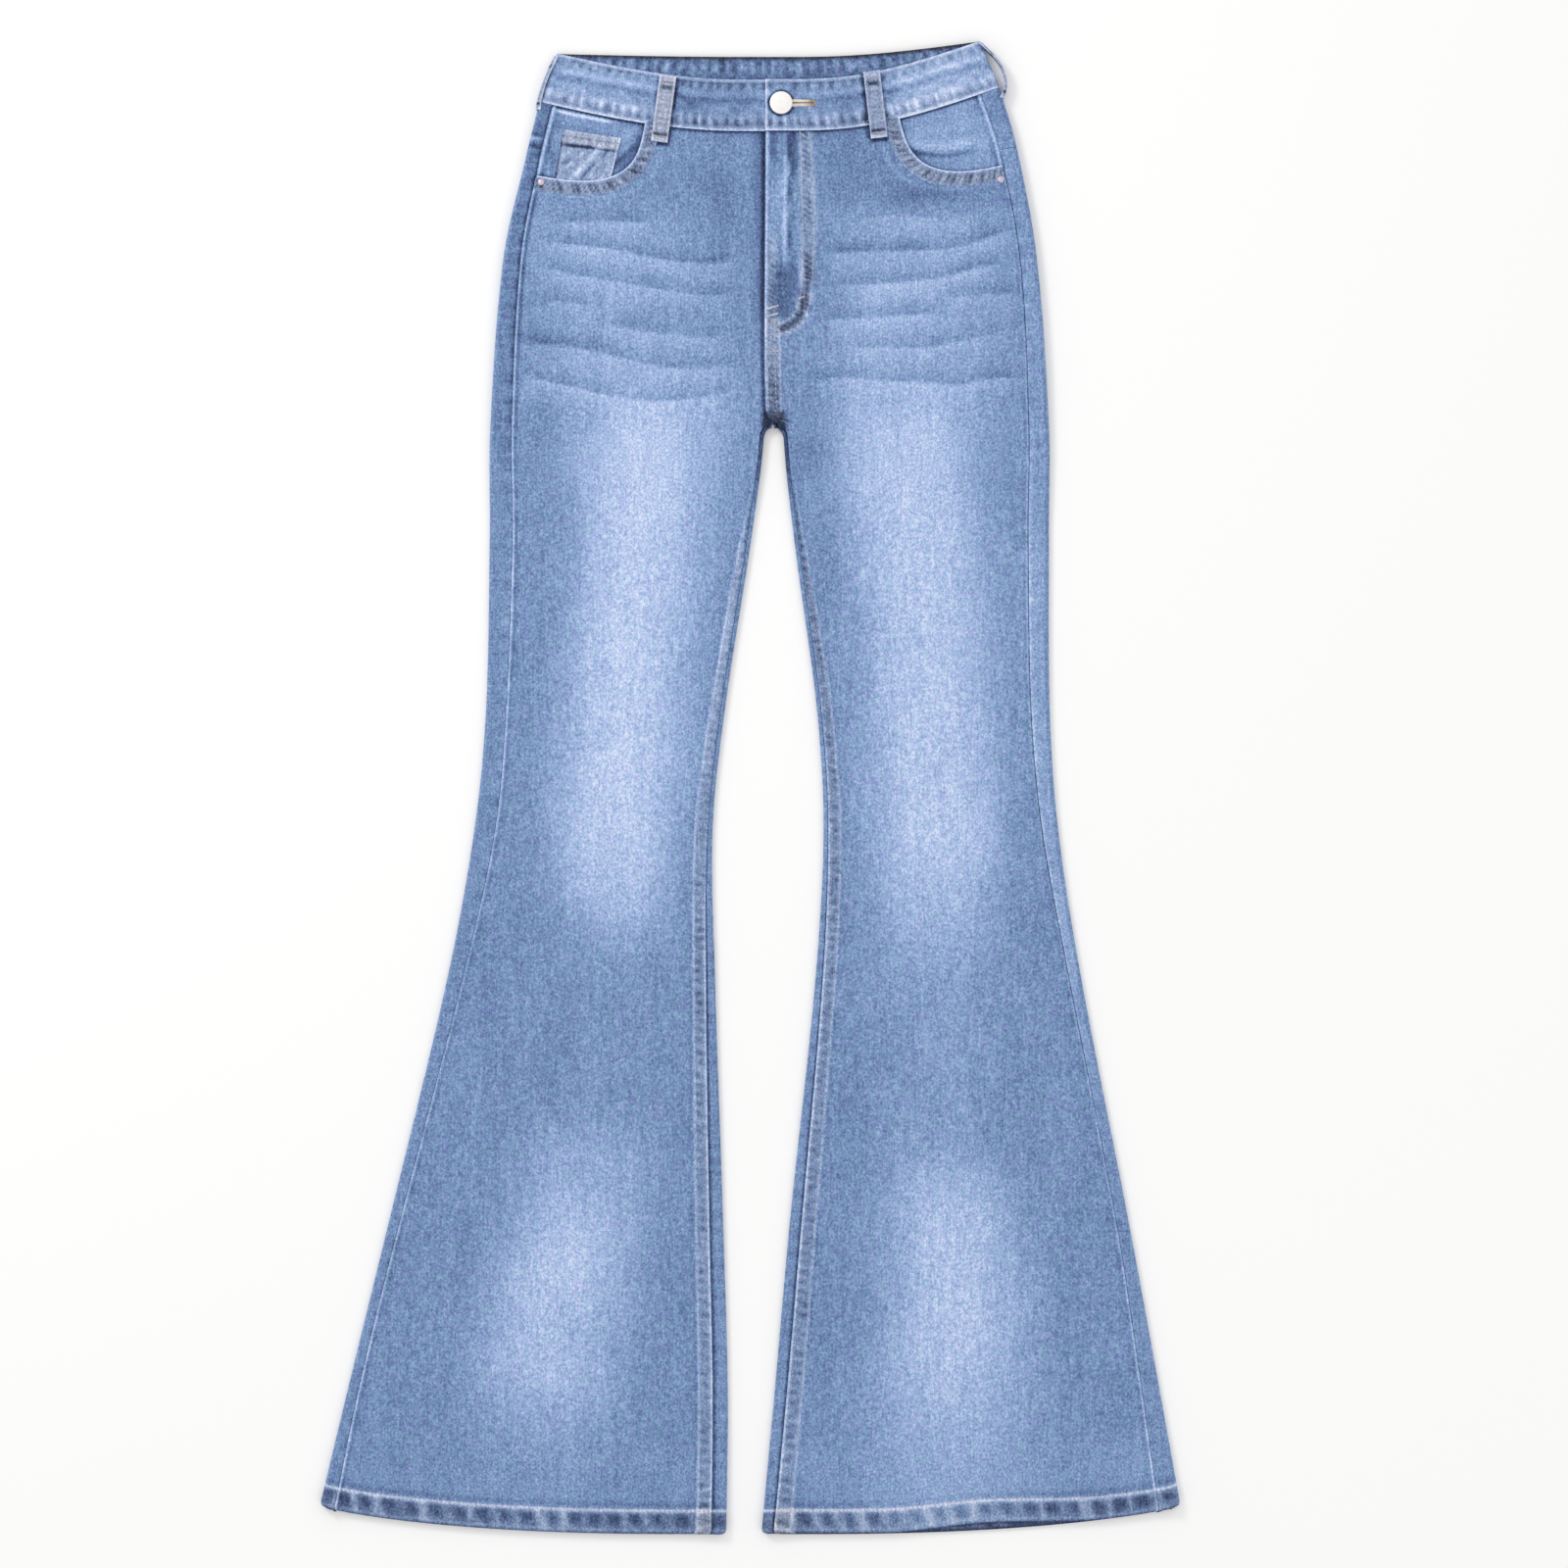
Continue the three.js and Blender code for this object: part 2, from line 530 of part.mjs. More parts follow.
// A point of the waistband at x and share of its height, on its front or its back half.
function bandPoint(leg, x, share, half) {
  const edge = bandEdge(leg, share);
  const [seam] = leg.sections;
  const t = (x - edge) / (CENTRE_X - edge);
  const foot = seam.y + GAP / 2 - seam[`${half}Fall`] * fall(t);
  const top = leg.waistTop.y - (leg.waistTop.y - WAIST_TOP[half]) * fall(t);
  const reach = Math.abs(x - edge);
  const past = x - SLIT.end;
  const lap = leg === LEFT ? 1 - smooth(BAND_LAP_FADE.from, BAND_LAP_FADE.to, past) : 0;
  const face = bandFace(reach) + (BAND + GAP) * lap;
  return new THREE.Vector3(x, lerp(foot, top, share), half === "front" ? face : SEAT_LIFT);
}

// The waistband: one strip from its left end, which lies over the fly, round the left side, the
// back and the right side to its right end, with the buttonhole cut in its left end.
function waistband() {
  const halfHeight = (bandFace(FOLD_REACH) - SEAT_LIFT) / 2;
  const row = (share) => {
    const foldOf = (leg, angles) =>
      angles.map((angle) => {
        const sign = sectionSign(leg);
        const x = bandEdge(leg, share) + sign * FOLD_REACH * (1 - Math.sin(angle));
        const p = bandPoint(leg, x, share, angle > Math.PI / 2 ? "back" : "front");
        p.z = SEAT_LIFT + halfHeight * (1 + Math.cos(angle));
        return p;
      });
    const frontOf = (leg, from, to, count) =>
      steps(from, to, count).map((x) => bandPoint(leg, x, share, "front"));
    const leftFold = bandEdge(LEFT, share) - FOLD_REACH;
    const rightFold = bandEdge(RIGHT, share) + FOLD_REACH;
    const leftEnd = columnAt(FRONT_SEAM, "x", FRONT_SEAM[0].y);
    const angles = steps(0, Math.PI, FOLD_STEPS);
    const { left, right, back } = BAND_COLUMNS;
    const backOf = (leg, from, to) =>
      steps(from, to, back).slice(1).map((x) => bandPoint(leg, x, share, "back"));
    return [
      ...frontOf(LEFT, leftEnd, leftFold, left).slice(0, -1),
      ...foldOf(LEFT, angles),
      ...backOf(LEFT, leftFold, CENTRE_X),
      ...backOf(RIGHT, CENTRE_X, rightFold).slice(0, -1),
      ...foldOf(RIGHT, [...angles].reverse()),
      ...frontOf(RIGHT, rightFold, leftEnd + WAIST_LAP, right).slice(1),
    ];
  };
  const strip = wall(steps(0, 1, 2).map(row), () => BAND);
  const half = Math.asin(SLIT.width / 2 / SLIT.eyelet);
  const slit = new THREE.Shape();
  slit.absarc(BUTTON.x, BUTTON.y, SLIT.eyelet, half, 2 * Math.PI - half, false);
  slit.lineTo(SLIT.end, BUTTON.y - SLIT.width / 2);
  slit.lineTo(SLIT.end, BUTTON.y + SLIT.width / 2);
  const cut = new THREE.ExtrudeGeometry(slit, {
    depth: SLIT_CUT,
    bevelEnabled: false,
    curveSegments: 8,
  });
  cut.translate(0, 0, bandFace(Infinity) + GAP / 2);
  return carved(strip, cut, "subtract");
}

// A belt loop on the waistband's face: a straight strip that bows up between its two ends.
function faceLoop({ foot, top }) {
  const from = new THREE.Vector2(...foot);
  const to = new THREE.Vector2(...top);
  const side = to.clone().sub(from).normalize().rotateAround(new THREE.Vector2(), Math.PI / 2);
  const points = steps(0, 1, LOOP_ROWS).map((t) => {
    const z = bandFace(Infinity) + GAP + LOOP.thick + LOOP.bow * Math.sin(Math.PI * t);
    return steps(-1, 1, 2).map((across) => {
      const place = from.clone().lerp(to, t).addScaledVector(side, (across * LOOP.width) / 2);
      return new THREE.Vector3(place.x, place.y, z);
    });
  });
  return wall(points, () => LOOP.thick);
}

// A belt loop at a side: it wraps round the folded waistband and stands off it in the middle.
function sideLoop({ side, foot, top, stand, spare }) {
  const leg = side === "right" ? RIGHT : LEFT;
  const sign = sectionSign(leg);
  const clear = GAP + LOOP.thick;
  const radius = bandFace(FOLD_REACH) / 2; // its lower side lies just above the table
  const points = steps(0, 1, LOOP_ROWS).map((t) => {
    const y = lerp(foot, top, t);
    const share = (y - leg.sections[0].y) / (leg.waistTop.y - leg.sections[0].y);
    const edge = share < 0 ? sectionAt(leg, y).outer : bandEdge(leg, Math.min(1, share));
    const bow = Math.sin(Math.PI * t);
    const tip = edge - sign * (clear + stand * bow);
    const reach = FOLD_REACH + clear - spare * bow;
    return steps(Math.PI / 2, -Math.PI / 2, 6).map(
      (angle) =>
        new THREE.Vector3(
          tip + sign * reach * (1 - Math.cos(angle)),
          y,
          (radius + GAP + LOOP.thick / 2) * (1 + Math.sin(angle)),
        ),
    );
  });
  return wall(points, () => LOOP.thick);
}

// Pieces under the seat, flat between it and the table.
function flatPiece(outline, thick, z) {
  const shape = new THREE.Shape(outline.map(([x, y]) => new THREE.Vector2(x, y)));
  return new THREE.ExtrudeGeometry(shape, { depth: thick, bevelEnabled: false }).translate(0, 0, z);
}
function backPocket(leg) {
  const { width, depth, point, taper, top, thick } = BACK_POCKET;
  const middle = (sectionAt(leg, top).outer + CENTRE_X) / 2;
  const side = width / 2;
  const outline = [
    [-side, 0],
    [-side + taper, point - depth],
    [0, -depth],
    [side - taper, point - depth],
    [side, 0],
  ];
  return flatPiece(
    outline.map(([x, y]) => [middle + x, top + y]),
    thick,
    0,
  );
}
const rectangle = (left, right, bottom, top) => [
  [left, bottom],
  [right, bottom],
  [right, top],
  [left, top],
];

// A turned piece of metal: the profile's points are radius and height.
const turnedMetal = (profile, sides) =>
  new THREE.LatheGeometry(
    profile.map(([radius, height]) => new THREE.Vector2(radius, height)),
    sides,
  ).rotateX(Math.PI / 2);

// The waist button: its shank stands on the right end of the waistband, in the buttonhole's eye.
function button() {
  const { radius, shank, thick } = BUTTON;
  const seat = BAND + 2 * GAP;
  const profile = [
    [0, GAP],
    [shank, GAP],
    [shank, seat],
    [radius - 0.5, seat],
    [radius, seat + 0.3 * thick],
    [0.9 * radius, seat + 0.7 * thick],
    [0.5 * radius, seat + 0.95 * thick],
    [0, seat + thick],
  ];
  return turnedMetal(profile, 20).translate(BUTTON.x, BUTTON.y, bandFace(Infinity));
}
function rivet(leg, x, y) {
  const { radius, thick } = RIVET;
  const profile = [
    [0, 0],
    [radius, 0],
    [radius, 0.4 * thick],
    [0.6 * radius, 0.9 * thick],
    [0, thick],
  ];
  return turnedMetal(profile, 16).translate(x, y, faceAbove(leg, x, y).z + GAP);
}

const SIDES = [RIGHT, LEFT];
for (const leg of SIDES) add(`front_${leg.name}`, frontPanel(leg), FRONT_DENIM);
for (const leg of SIDES) add(`back_${leg.name}`, backPanel(leg), BACK_DENIM);
for (const leg of SIDES) add(`yoke_${leg.name}`, yoke(leg), BACK_DENIM);
add("waistband", waistband(), BAND_DENIM);
for (const leg of SIDES) add(`pocket_facing_${leg.name}`, pocketFacing(leg), POCKET_DENIM);
add("coin_pocket", coinPocket(), POCKET_DENIM);
for (const leg of SIDES) add(`back_pocket_${leg.name}`, backPocket(leg), BACK_DENIM);
for (const loop of FRONT_LOOPS) add(`belt_loop_front_${loop.side}`, faceLoop(loop), BAND_DENIM);
for (const loop of SIDE_LOOPS) add(`belt_loop_side_${loop.side}`, sideLoop(loop), BAND_DENIM);
const loopLeft = CENTRE_X - LOOP.width / 2;
const backLoop = rectangle(loopLeft, loopLeft + LOOP.width, BACK_LOOP.foot, BACK_LOOP.top);
add("belt_loop_back", flatPiece(backLoop, LOOP.thick, 0), BAND_DENIM);
const zipTape = rectangle(ZIP.x - ZIP.width / 2, ZIP.x + ZIP.width / 2, ZIP.bottom, ZIP.top);
add("zip", flatPiece(zipTape, ZIP.thick, SEAT_LIFT + DENIM + GAP), ZIP_TAPE);
add("button", button(), PALE_METAL);
for (const leg of SIDES) add(`rivet_${leg.name}`, rivet(leg, ...leg.rivet), PINK_METAL);

export default jeans;
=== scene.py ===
# Flared five-pocket jeans in washed stretch denim, laid flat on their back, seen from above.
# Sizes are in millimetres and become metres when a mesh is made. Right and left are the
# wearer's, so the right leg lies at -X.

import math
import bpy
import numpy as np
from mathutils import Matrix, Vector
from mathutils.bvhtree import BVHTree


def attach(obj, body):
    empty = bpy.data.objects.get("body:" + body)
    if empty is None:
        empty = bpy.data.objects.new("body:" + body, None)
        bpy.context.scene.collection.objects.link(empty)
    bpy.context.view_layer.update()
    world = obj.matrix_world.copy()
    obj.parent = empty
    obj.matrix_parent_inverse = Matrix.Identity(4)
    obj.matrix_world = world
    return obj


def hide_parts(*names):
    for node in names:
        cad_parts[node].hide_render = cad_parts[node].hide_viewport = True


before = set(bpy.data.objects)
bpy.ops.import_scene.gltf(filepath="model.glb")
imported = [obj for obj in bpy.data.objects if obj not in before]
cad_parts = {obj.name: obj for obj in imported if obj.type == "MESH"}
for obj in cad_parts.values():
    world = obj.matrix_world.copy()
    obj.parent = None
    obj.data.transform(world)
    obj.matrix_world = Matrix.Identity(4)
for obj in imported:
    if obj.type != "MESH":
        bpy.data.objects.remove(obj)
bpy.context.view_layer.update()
bpy.ops.object.select_all(action="DESELECT")

# Camera
# The photo looks straight down on the garment with a long lens. One pixel of its 1600 is 0.74 mm.

MM = 0.001
PIXEL = 0.74
PHOTO_SIDE = 1600 * PIXEL
PHOTO_CENTRE = (25.5, 3.0)  # where the middle of the photo falls on the table
LENS = 85
SENSOR = 36
camera_data = bpy.data.cameras.new("camera")
camera_data.lens = LENS
camera_data.sensor_width = SENSOR
camera = bpy.data.objects.new("camera", camera_data)
camera.location = (
    PHOTO_CENTRE[0] * MM,
    PHOTO_CENTRE[1] * MM,
    PHOTO_SIDE * MM * LENS / SENSOR,
)
bpy.context.scene.collection.objects.link(camera)
bpy.context.scene.camera = camera

# Denim
# Washed stretch denim: blue warp over white weft in a fine twill, uneven slubby yarn that gives
# a mottled, mostly upright grain, and a stone wash that pales it over the thighs and shins.
# A wash says how pale a place is: 0 in the seams' hollows, 1 on the thighs. Besides the stone wash
# and wear it holds painted shade in hollows, creases and under raised edges and things, and painted
# highlights on the folds of creases. The meshes carry it as the brightness it stands for, and in
# a second attribute how grey the worn seams are.

WASH_COLOURS = (
    (-0.40, (30, 40, 66)),
    (0.00, (62, 80, 120)),
    (0.15, (89, 112, 154)),
    (0.30, (112, 140, 182)),
    (0.60, (144, 169, 210)),
    (0.95, (181, 200, 237)),
    (1.30, (222, 230, 248)),
)
WASHES = [wash for wash, _ in WASH_COLOURS]
TONES = [sum(colour) / 765 for _, colour in WASH_COLOURS]


def linear(colour):
    parts = [c / 255 for c in colour]
    return [p / 12.92 if p <= 0.04045 else ((p + 0.055) / 1.055) ** 2.4 for p in parts] + [1.0]


def new_material(name, roughness):
    material = bpy.data.materials.new(name)
    material.use_nodes = True
    shader = material.node_tree.nodes["Principled BSDF"]
    shader.inputs["Roughness"].default_value = roughness
    return material, shader


def node_of(material, kind, **inputs):
    node = material.node_tree.nodes.new(kind)
    for name, value in inputs.items():
        node.inputs[name.replace("_", " ")].default_value = value
    return node


def noise_of(material, space, stretch, detail, rough=0.55):
    """A noise whose features are 1/stretch metres long along X, Y and Z."""
    tree = material.node_tree
    mapping = node_of(material, "ShaderNodeMapping", Scale=stretch)
    noise = node_of(material, "ShaderNodeTexNoise", Scale=1.0, Detail=detail, Roughness=rough)
    tree.links.new(space, mapping.inputs["Vector"])
    tree.links.new(mapping.outputs["Vector"], noise.inputs["Vector"])
    return noise.outputs["Fac"]


def math_of(material, operation, first, second=0.0, third=None):
    tree = material.node_tree
    node = tree.nodes.new("ShaderNodeMath")
    node.operation = operation
    for socket, value in zip(node.inputs, (first, second, third)):
        if value is None:
            continue
        if isinstance(value, (int, float)):
            socket.default_value = value
        else:
            tree.links.new(value, socket)
    return node.outputs[0]


def denim(name, grain=1.0, slope=1.0):
    """grain: strength of the mottling. slope: strength of its bump."""
    material, shader = new_material(name, 0.88)
    tree = material.node_tree
    links = tree.links
    shader.inputs["Specular IOR Level"].default_value = 0.18
    shader.inputs["Sheen Weight"].default_value = 0.12
    shader.inputs["Sheen Roughness"].default_value = 0.6
    shader.inputs["Sheen Tint"].default_value = (0.75, 0.83, 1.0, 1.0)
    space = node_of(material, "ShaderNodeTexCoord").outputs["Object"]
    tone = tree.nodes.new("ShaderNodeAttribute")
    tone.attribute_name = "tone"
    worn = tree.nodes.new("ShaderNodeAttribute")
    worn.attribute_name = "grey"
    mottle = noise_of(material, space, (660, 540, 500), 2, 0.7)
    blots = noise_of(material, space, (260, 200, 200), 2, 0.6)
    slub = noise_of(material, space, (680, 60, 300), 2, 0.6)
    streak = noise_of(material, space, (150, 13, 100), 3, 0.6)
    cloud = noise_of(material, space, (24, 16, 20), 3, 0.55)
    twill = node_of(material, "ShaderNodeTexWave", Scale=1.0, Distortion=0.6, Detail=1.0)
    twill.bands_direction = "DIAGONAL"
    twill_map = node_of(material, "ShaderNodeMapping", Scale=(310, 190, 0))
    links.new(space, twill_map.inputs["Vector"])
    links.new(twill_map.outputs["Vector"], twill.inputs["Vector"])

    def centred(value, strength):
        return math_of(material, "MULTIPLY", math_of(material, "SUBTRACT", value, 0.5), strength)

    grain_sum = centred(mottle, 0.62 * grain)
    parts = ((blots, 0.13), (slub, 0.19), (streak, 0.1), (cloud, 0.08), (twill.outputs["Fac"], 0.03))
    for part, strength in parts:
        grain_sum = math_of(material, "ADD", grain_sum, centred(part, strength * grain))
    level = math_of(material, "ADD", tone.outputs["Fac"], grain_sum)
    ramp = tree.nodes.new("ShaderNodeValToRGB")
    span = TONES[-1] - TONES[0]
    stops = ramp.color_ramp.elements
    for at, (_, colour) in list(zip(TONES, WASH_COLOURS))[1:-1]:
        stops.new((at - TONES[0]) / span).color = linear(colour)
    stops[0].color = linear(WASH_COLOURS[0][1])
    stops[-1].color = linear(WASH_COLOURS[-1][1])
    share = math_of(material, "DIVIDE", math_of(material, "SUBTRACT", level, TONES[0]), span)
    links.new(share, ramp.inputs["Fac"])
    tint = node_of(material, "ShaderNodeHueSaturation", Saturation=1.0)
    hue_noise = noise_of(material, space, (330, 240, 200), 1, 0.5)
    links.new(math_of(material, "MULTIPLY_ADD", hue_noise, 0.07, 0.465), tint.inputs["Hue"])
    links.new(ramp.outputs["Color"], tint.inputs["Color"])
    bare = tree.nodes.new("ShaderNodeRGBToBW")
    links.new(ramp.outputs["Color"], bare.inputs["Color"])
    warm = tree.nodes.new("ShaderNodeCombineColor")
    for socket, strength in zip(warm.inputs, (1.05, 1.0, 1.05)):
        links.new(math_of(material, "MULTIPLY", bare.outputs["Val"], strength), socket)
    mixed = tree.nodes.new("ShaderNodeMix")
    mixed.data_type = "RGBA"
    links.new(worn.outputs["Fac"], mixed.inputs["Factor"])
    links.new(tint.outputs["Color"], mixed.inputs["A"])
    links.new(warm.outputs["Color"], mixed.inputs["B"])
    links.new(mixed.outputs["Result"], shader.inputs["Base Color"])
    bump = node_of(material, "ShaderNodeBump", Strength=0.3 * slope, Distance=0.0004)
    height = math_of(material, "ADD", grain_sum, centred(twill.outputs["Fac"], 0.3))
    links.new(height, bump.inputs["Height"])
    links.new(bump.outputs["Normal"], shader.inputs["Normal"])
    return material


LEG_DENIM = denim("leg_denim")

# The cut of the legs
# Each leg is a tube of a front and a back panel. The cut is a table of cross-sections from the
# waistband seam to the hem, and everything that lies on a leg is placed by it.

DENIM = 1.2
GAP = 0.3
FOLD_REACH = 2.6
EDGE_RISE = 1.4
EDGE_SPREAD = 14
LEG_STACK = 2.9
HIP_STACK = 4.2
SEAT_LIFT = 1.3
CENTRE_X = 17
CROTCH_Y = 272
ARCH_DEPTH = 8
FORK_OPEN = 2.5
FORK_CLEAR = 0.7
HEM = 18
HEM_TURN = 0.9
HEM_CURVE = {"bend": 0.7, "start": -322}
HEM_CORNER = 3
FLY_LAP = 6
COLUMNS = ("y", "outer", "inner", "front_fall", "back_fall", "side_turn", "inseam_turn")
RIGHT_SECTIONS = (
    (517, -159, 12, 22, 4, 10, 3),
    (472, -170, 12, 11, 27, 10.5, 3),
    (400, -186, 12, 0, 5, 13, 3),
    (272, -196, 10.7, 0, 0, 16, 3),
    (190, -196.5, 1, 0, 0, 17, 3),
    (56, -199.5, -19.6, 0, 0, 15, 3),
    (-33, -208.3, -28.5, 0, 0, 15.5, 3.4),
    (-144, -228.6, -26.5, 1, 1, 11.5, 6.5),
    (-322, -271.3, -20.5, 5, 5, 8, 10),
    (-441, -300.5, -17, 13, 13, 7.5, 11),
    (-541, -324.5, -18, 21.5, 21.5, 10.5, 11),
)
LEFT_SECTIONS = (
    (528, 188, 24, 33, 15, 14, 3),
    (483, 201, 24, 16, 38, 13, 3),
    (400, 216, 24, 0, 6, 12.5, 3),
    (272, 225.3, 24.8, 0, 0, 15, 3),
    (190, 225.3, 32.9, 0, 0, 15.5, 3),
    (56, 226.1, 50.7, 0, 0, 14, 3),
    (-33, 232.5, 55.4, 0, 0, 12, 3.2),
    (-144, 249.8, 49.2, 1, 1, 9, 5.2),
    (-322, 284.5, 30, 5, 5, 9, 8.5),
    (-441, 306.5, 18.6, 13, 13, 12.5, 9),
    (-541, 324.5, 8.5, 21, 22, 16, 9),
)
SEAM_COLUMNS = ("y", "x")
FRONT_SEAM = ((560, 11.5), (495, 11.5), (342, 10.6), (300, 11.2), (281, 12.6), (274, 17))
# The pale places of a leg: height, middle, half width and strength.
FADE_COLUMNS = ("y", "middle", "half", "strength")
RIGHT_FADES = (
    (500, -93, 60, 0.04),
    (462, -98, 60, -0.01),
    (447, -100, 60, 0.03),
    (425, -104, 62, 0.16),
    (373, -95, 58, 0.22),
    (320, -90, 62, 0.27),
    (290, -84, 60, 0.42),
    (274, -81, 54, 0.57),
    (255, -80, 49, 0.61),
    (180, -85, 45, 0.61),
    (77, -95, 45, 0.62),
    (-34, -102, 42, 0.61),
    (-82, -102, 36, 0.50),
    (-112, -100, 33, 0.24),
    (-145, -104, 37, 0.06),
    (-241, -112, 45, 0.07),
    (-278, -118, 48, 0.22),
    (-330, -134, 45, 0.46),
    (-390, -148, 47, 0.56),
    (-434, -154, 47, 0.50),
    (-478, -155, 50, 0.22),
    (-515, -155, 50, 0.07),
)
LEFT_FADES = (
    (500, 130, 60, -0.04),
    (447, 132, 60, -0.03),
    (430, 134, 62, 0.18),
    (373, 111, 62, 0.27),
    (320, 111, 62, 0.28),
    (290, 113, 60, 0.40),
    (274, 114, 54, 0.53),
    (255, 116, 48, 0.56),
    (180, 125, 48, 0.58),
    (77, 133, 46, 0.59),
    (-34, 139, 45, 0.57),
    (-82, 137, 40, 0.46),
    (-112, 140, 40, 0.32),
    (-145, 142, 44, 0.20),
    (-190, 142, 44, 0.16),
    (-234, 144, 42, 0.12),
    (-263, 145, 38, 0.18),
    (-315, 148, 41, 0.49),
    (-390, 158, 46, 0.56),
    (-434, 152, 50, 0.53),
    (-486, 148, 55, 0.36),
    (-523, 148, 55, 0.25),
)
# The felled inseam narrows to nothing under the fork, where it turns below the leg.
FELL_COLUMNS = ("y", "width")
RIGHT_FELL = ((272, 0), (215, 2), (171, 5), (77, 6.7), (16, 8.2), (-36, 9), (-144, 9.3), (-322, 10), (-541, 10.5))
LEFT_FELL = ((272, 0), (215, 2), (171, 4.7), (77, 7), (0, 8.5), (-40, 9.2), (-158, 9), (-367, 11), (-541, 12))
RIGHT = {
    "name": "right",
    "fell": RIGHT_FELL,
    "sign": 1,
    "sections": RIGHT_SECTIONS,
    "fades": RIGHT_FADES,
    "waist_top": (-146, 553.5),
    "hem_rise": 0,
    "mouth": {"corner": (-160, 514), "tilt": -0.183, "across": 82, "deep": 52, "bend": 3.1},
    "rivet": (-157.5, 456.5),
}
LEFT = {
    "name": "left",
    "fell": LEFT_FELL,
    "sign": -1,
    "sections": LEFT_SECTIONS,
    "fades": LEFT_FADES,
    "waist_top": (173.5, 563),
    "hem_rise": 5,
    "mouth": {"corner": (192, 524), "tilt": 0.24, "across": -82, "deep": 53, "bend": 3.1},
    "rivet": (189, 458.5),
}
LEGS = (RIGHT, LEFT)
# The creases over the hips, in relief and in the wash: a trough of painted shade that stops at the
# sharp edge of a fold, paler with a painted highlight that fades out below it. Each is a depth and
# the places of that edge.
CREASES = (
    (1.0, (-141, 426), (-128, 427), (-104, 427), (-78, 426)),
    (1.05, (-152, 411), (-128, 409), (-104, 406), (-80, 401), (-57, 397), (-33, 395), (-17, 396)),
    (0.85, (-155, 393), (-139, 388), (-116, 384), (-92, 380), (-68, 376), (-45, 372), (-17, 371)),
    (0.65, (-166, 361), (-151, 366), (-139, 366), (-122, 363)),
    (0.8, (-114, 350), (-92, 346), (-68, 343), (-45, 340), (-23, 340)),
    (0.95, (-169, 335), (-151, 334), (-128, 331), (-104, 326), (-80, 320), (-57, 316), (-17, 317)),
    (0.95, (-169, 311), (-151, 306), (-128, 301), (-104, 295), (-80, 292), (-57, 292), (-33, 295), (-17, 298)),
    (0.55, (82, 428), (99, 431), (122, 431), (146, 428), (162, 433)),
    (1.05, (61, 403), (87, 404), (122, 405), (146, 406), (170, 411), (194, 420)),
    (1.15, (71, 379), (99, 380), (122, 382), (146, 385), (170, 392), (185, 394)),
    (0.75, (153, 370), (170, 371), (198, 373)),
    (1.0, (57, 353), (87, 354), (111, 356), (141, 358)),
    (0.85, (79, 332), (111, 332), (134, 332), (158, 337), (187, 343)),
    (1.0, (46, 308), (75, 309), (99, 307), (122, 306), (158, 304), (178, 308), (198, 309)),
)
TROUGH_WIDTH = 8.5
FOLD_WIDTH = 10
CREASE_END = 10


def smooth(start, end, value):
    t = np.clip((np.asarray(value, float) - start) / (end - start), 0, 1)
    return t * t * (3 - 2 * t)


def column(table, names, name, y):
    """A table's column at the heights y, as one smooth curve through its rows."""
    rows = np.array(table, float)[::-1]
    at, value = rows[:, names.index("y")], rows[:, names.index(name)]
    slope = np.empty_like(value)
    slope[1:-1] = (value[2:] - value[:-2]) / (at[2:] - at[:-2])
    slope[0] = (value[1] - value[0]) / (at[1] - at[0])
    slope[-1] = (value[-1] - value[-2]) / (at[-1] - at[-2])
    y = np.asarray(y, float)
    i = np.clip(np.searchsorted(at, y) - 1, 0, len(at) - 2)
    span = at[i + 1] - at[i]
    t = np.clip((y - at[i]) / span, 0, 1)
    keep = (1 + 2 * t) * (1 - t) ** 2
    bend = t * (1 - t) ** 2 * slope[i] - t * t * (1 - t) * slope[i + 1]
    return keep * value[i] + (1 - keep) * value[i + 1] + bend * span


def section_at(leg, y):
    values = {name: column(leg["sections"], COLUMNS, name, y) for name in COLUMNS[1:]}
    depth = np.clip((CROTCH_Y - y) / ARCH_DEPTH, 0, 1)
    arch = np.sqrt(1 - (1 - depth) ** 2)
    middle = CENTRE_X - leg["sign"] * GAP / 2
    low = np.clip((hem_of(leg) + HEM_CORNER - y) / HEM_CORNER, 0, 1)
    corner = leg["sign"] * HEM_CORNER * (1 - np.sqrt(1 - low**2))
    values["outer"] = values["outer"] + corner
    values["inner"] = middle + (values["inner"] - middle) * arch - corner
    values["bend"] = 1 + (HEM_CURVE["bend"] - 1) * smooth(HEM_CURVE["start"], hem_of(leg), y)
    values["forked"] = y <= CROTCH_Y
    values["open"] = y <= CROTCH_Y + FORK_OPEN
    return values


def hem_of(leg):
    return leg["sections"][-1][0]


def underside(y):
    return SEAT_LIFT * smooth(190, 265, y)


def face_z(leg, y, reach):
    hip = LEG_STACK + (HIP_STACK - LEG_STACK) * smooth(250, 335, y)
    hem = HEM_TURN * smooth(hem_of(leg) + 90, hem_of(leg) + HEM, y)
    edge = EDGE_RISE * np.exp(-np.maximum(reach, FOLD_REACH) / EDGE_SPREAD)
    return underside(y) + hip + hem + edge


def row_y(section, y, x, which):
    t = (x - section["outer"]) / (section["inner"] - section["outer"])
    drop = np.sin(np.clip(1.15 * t, 0, 1) ** section["bend"] * math.pi / 2)
    return y - section[which] * drop


LAP_REACH = 41
LAP_FADE = 32


def lap_lift(x, y):
    """The left front lies on the right front along the seam in the middle."""
    past = x - column(FRONT_SEAM, SEAM_COLUMNS, "x", y)
    return (DENIM + GAP) * (1 - smooth(LAP_REACH, LAP_REACH + LAP_FADE, past)) * smooth(236, 268, y)


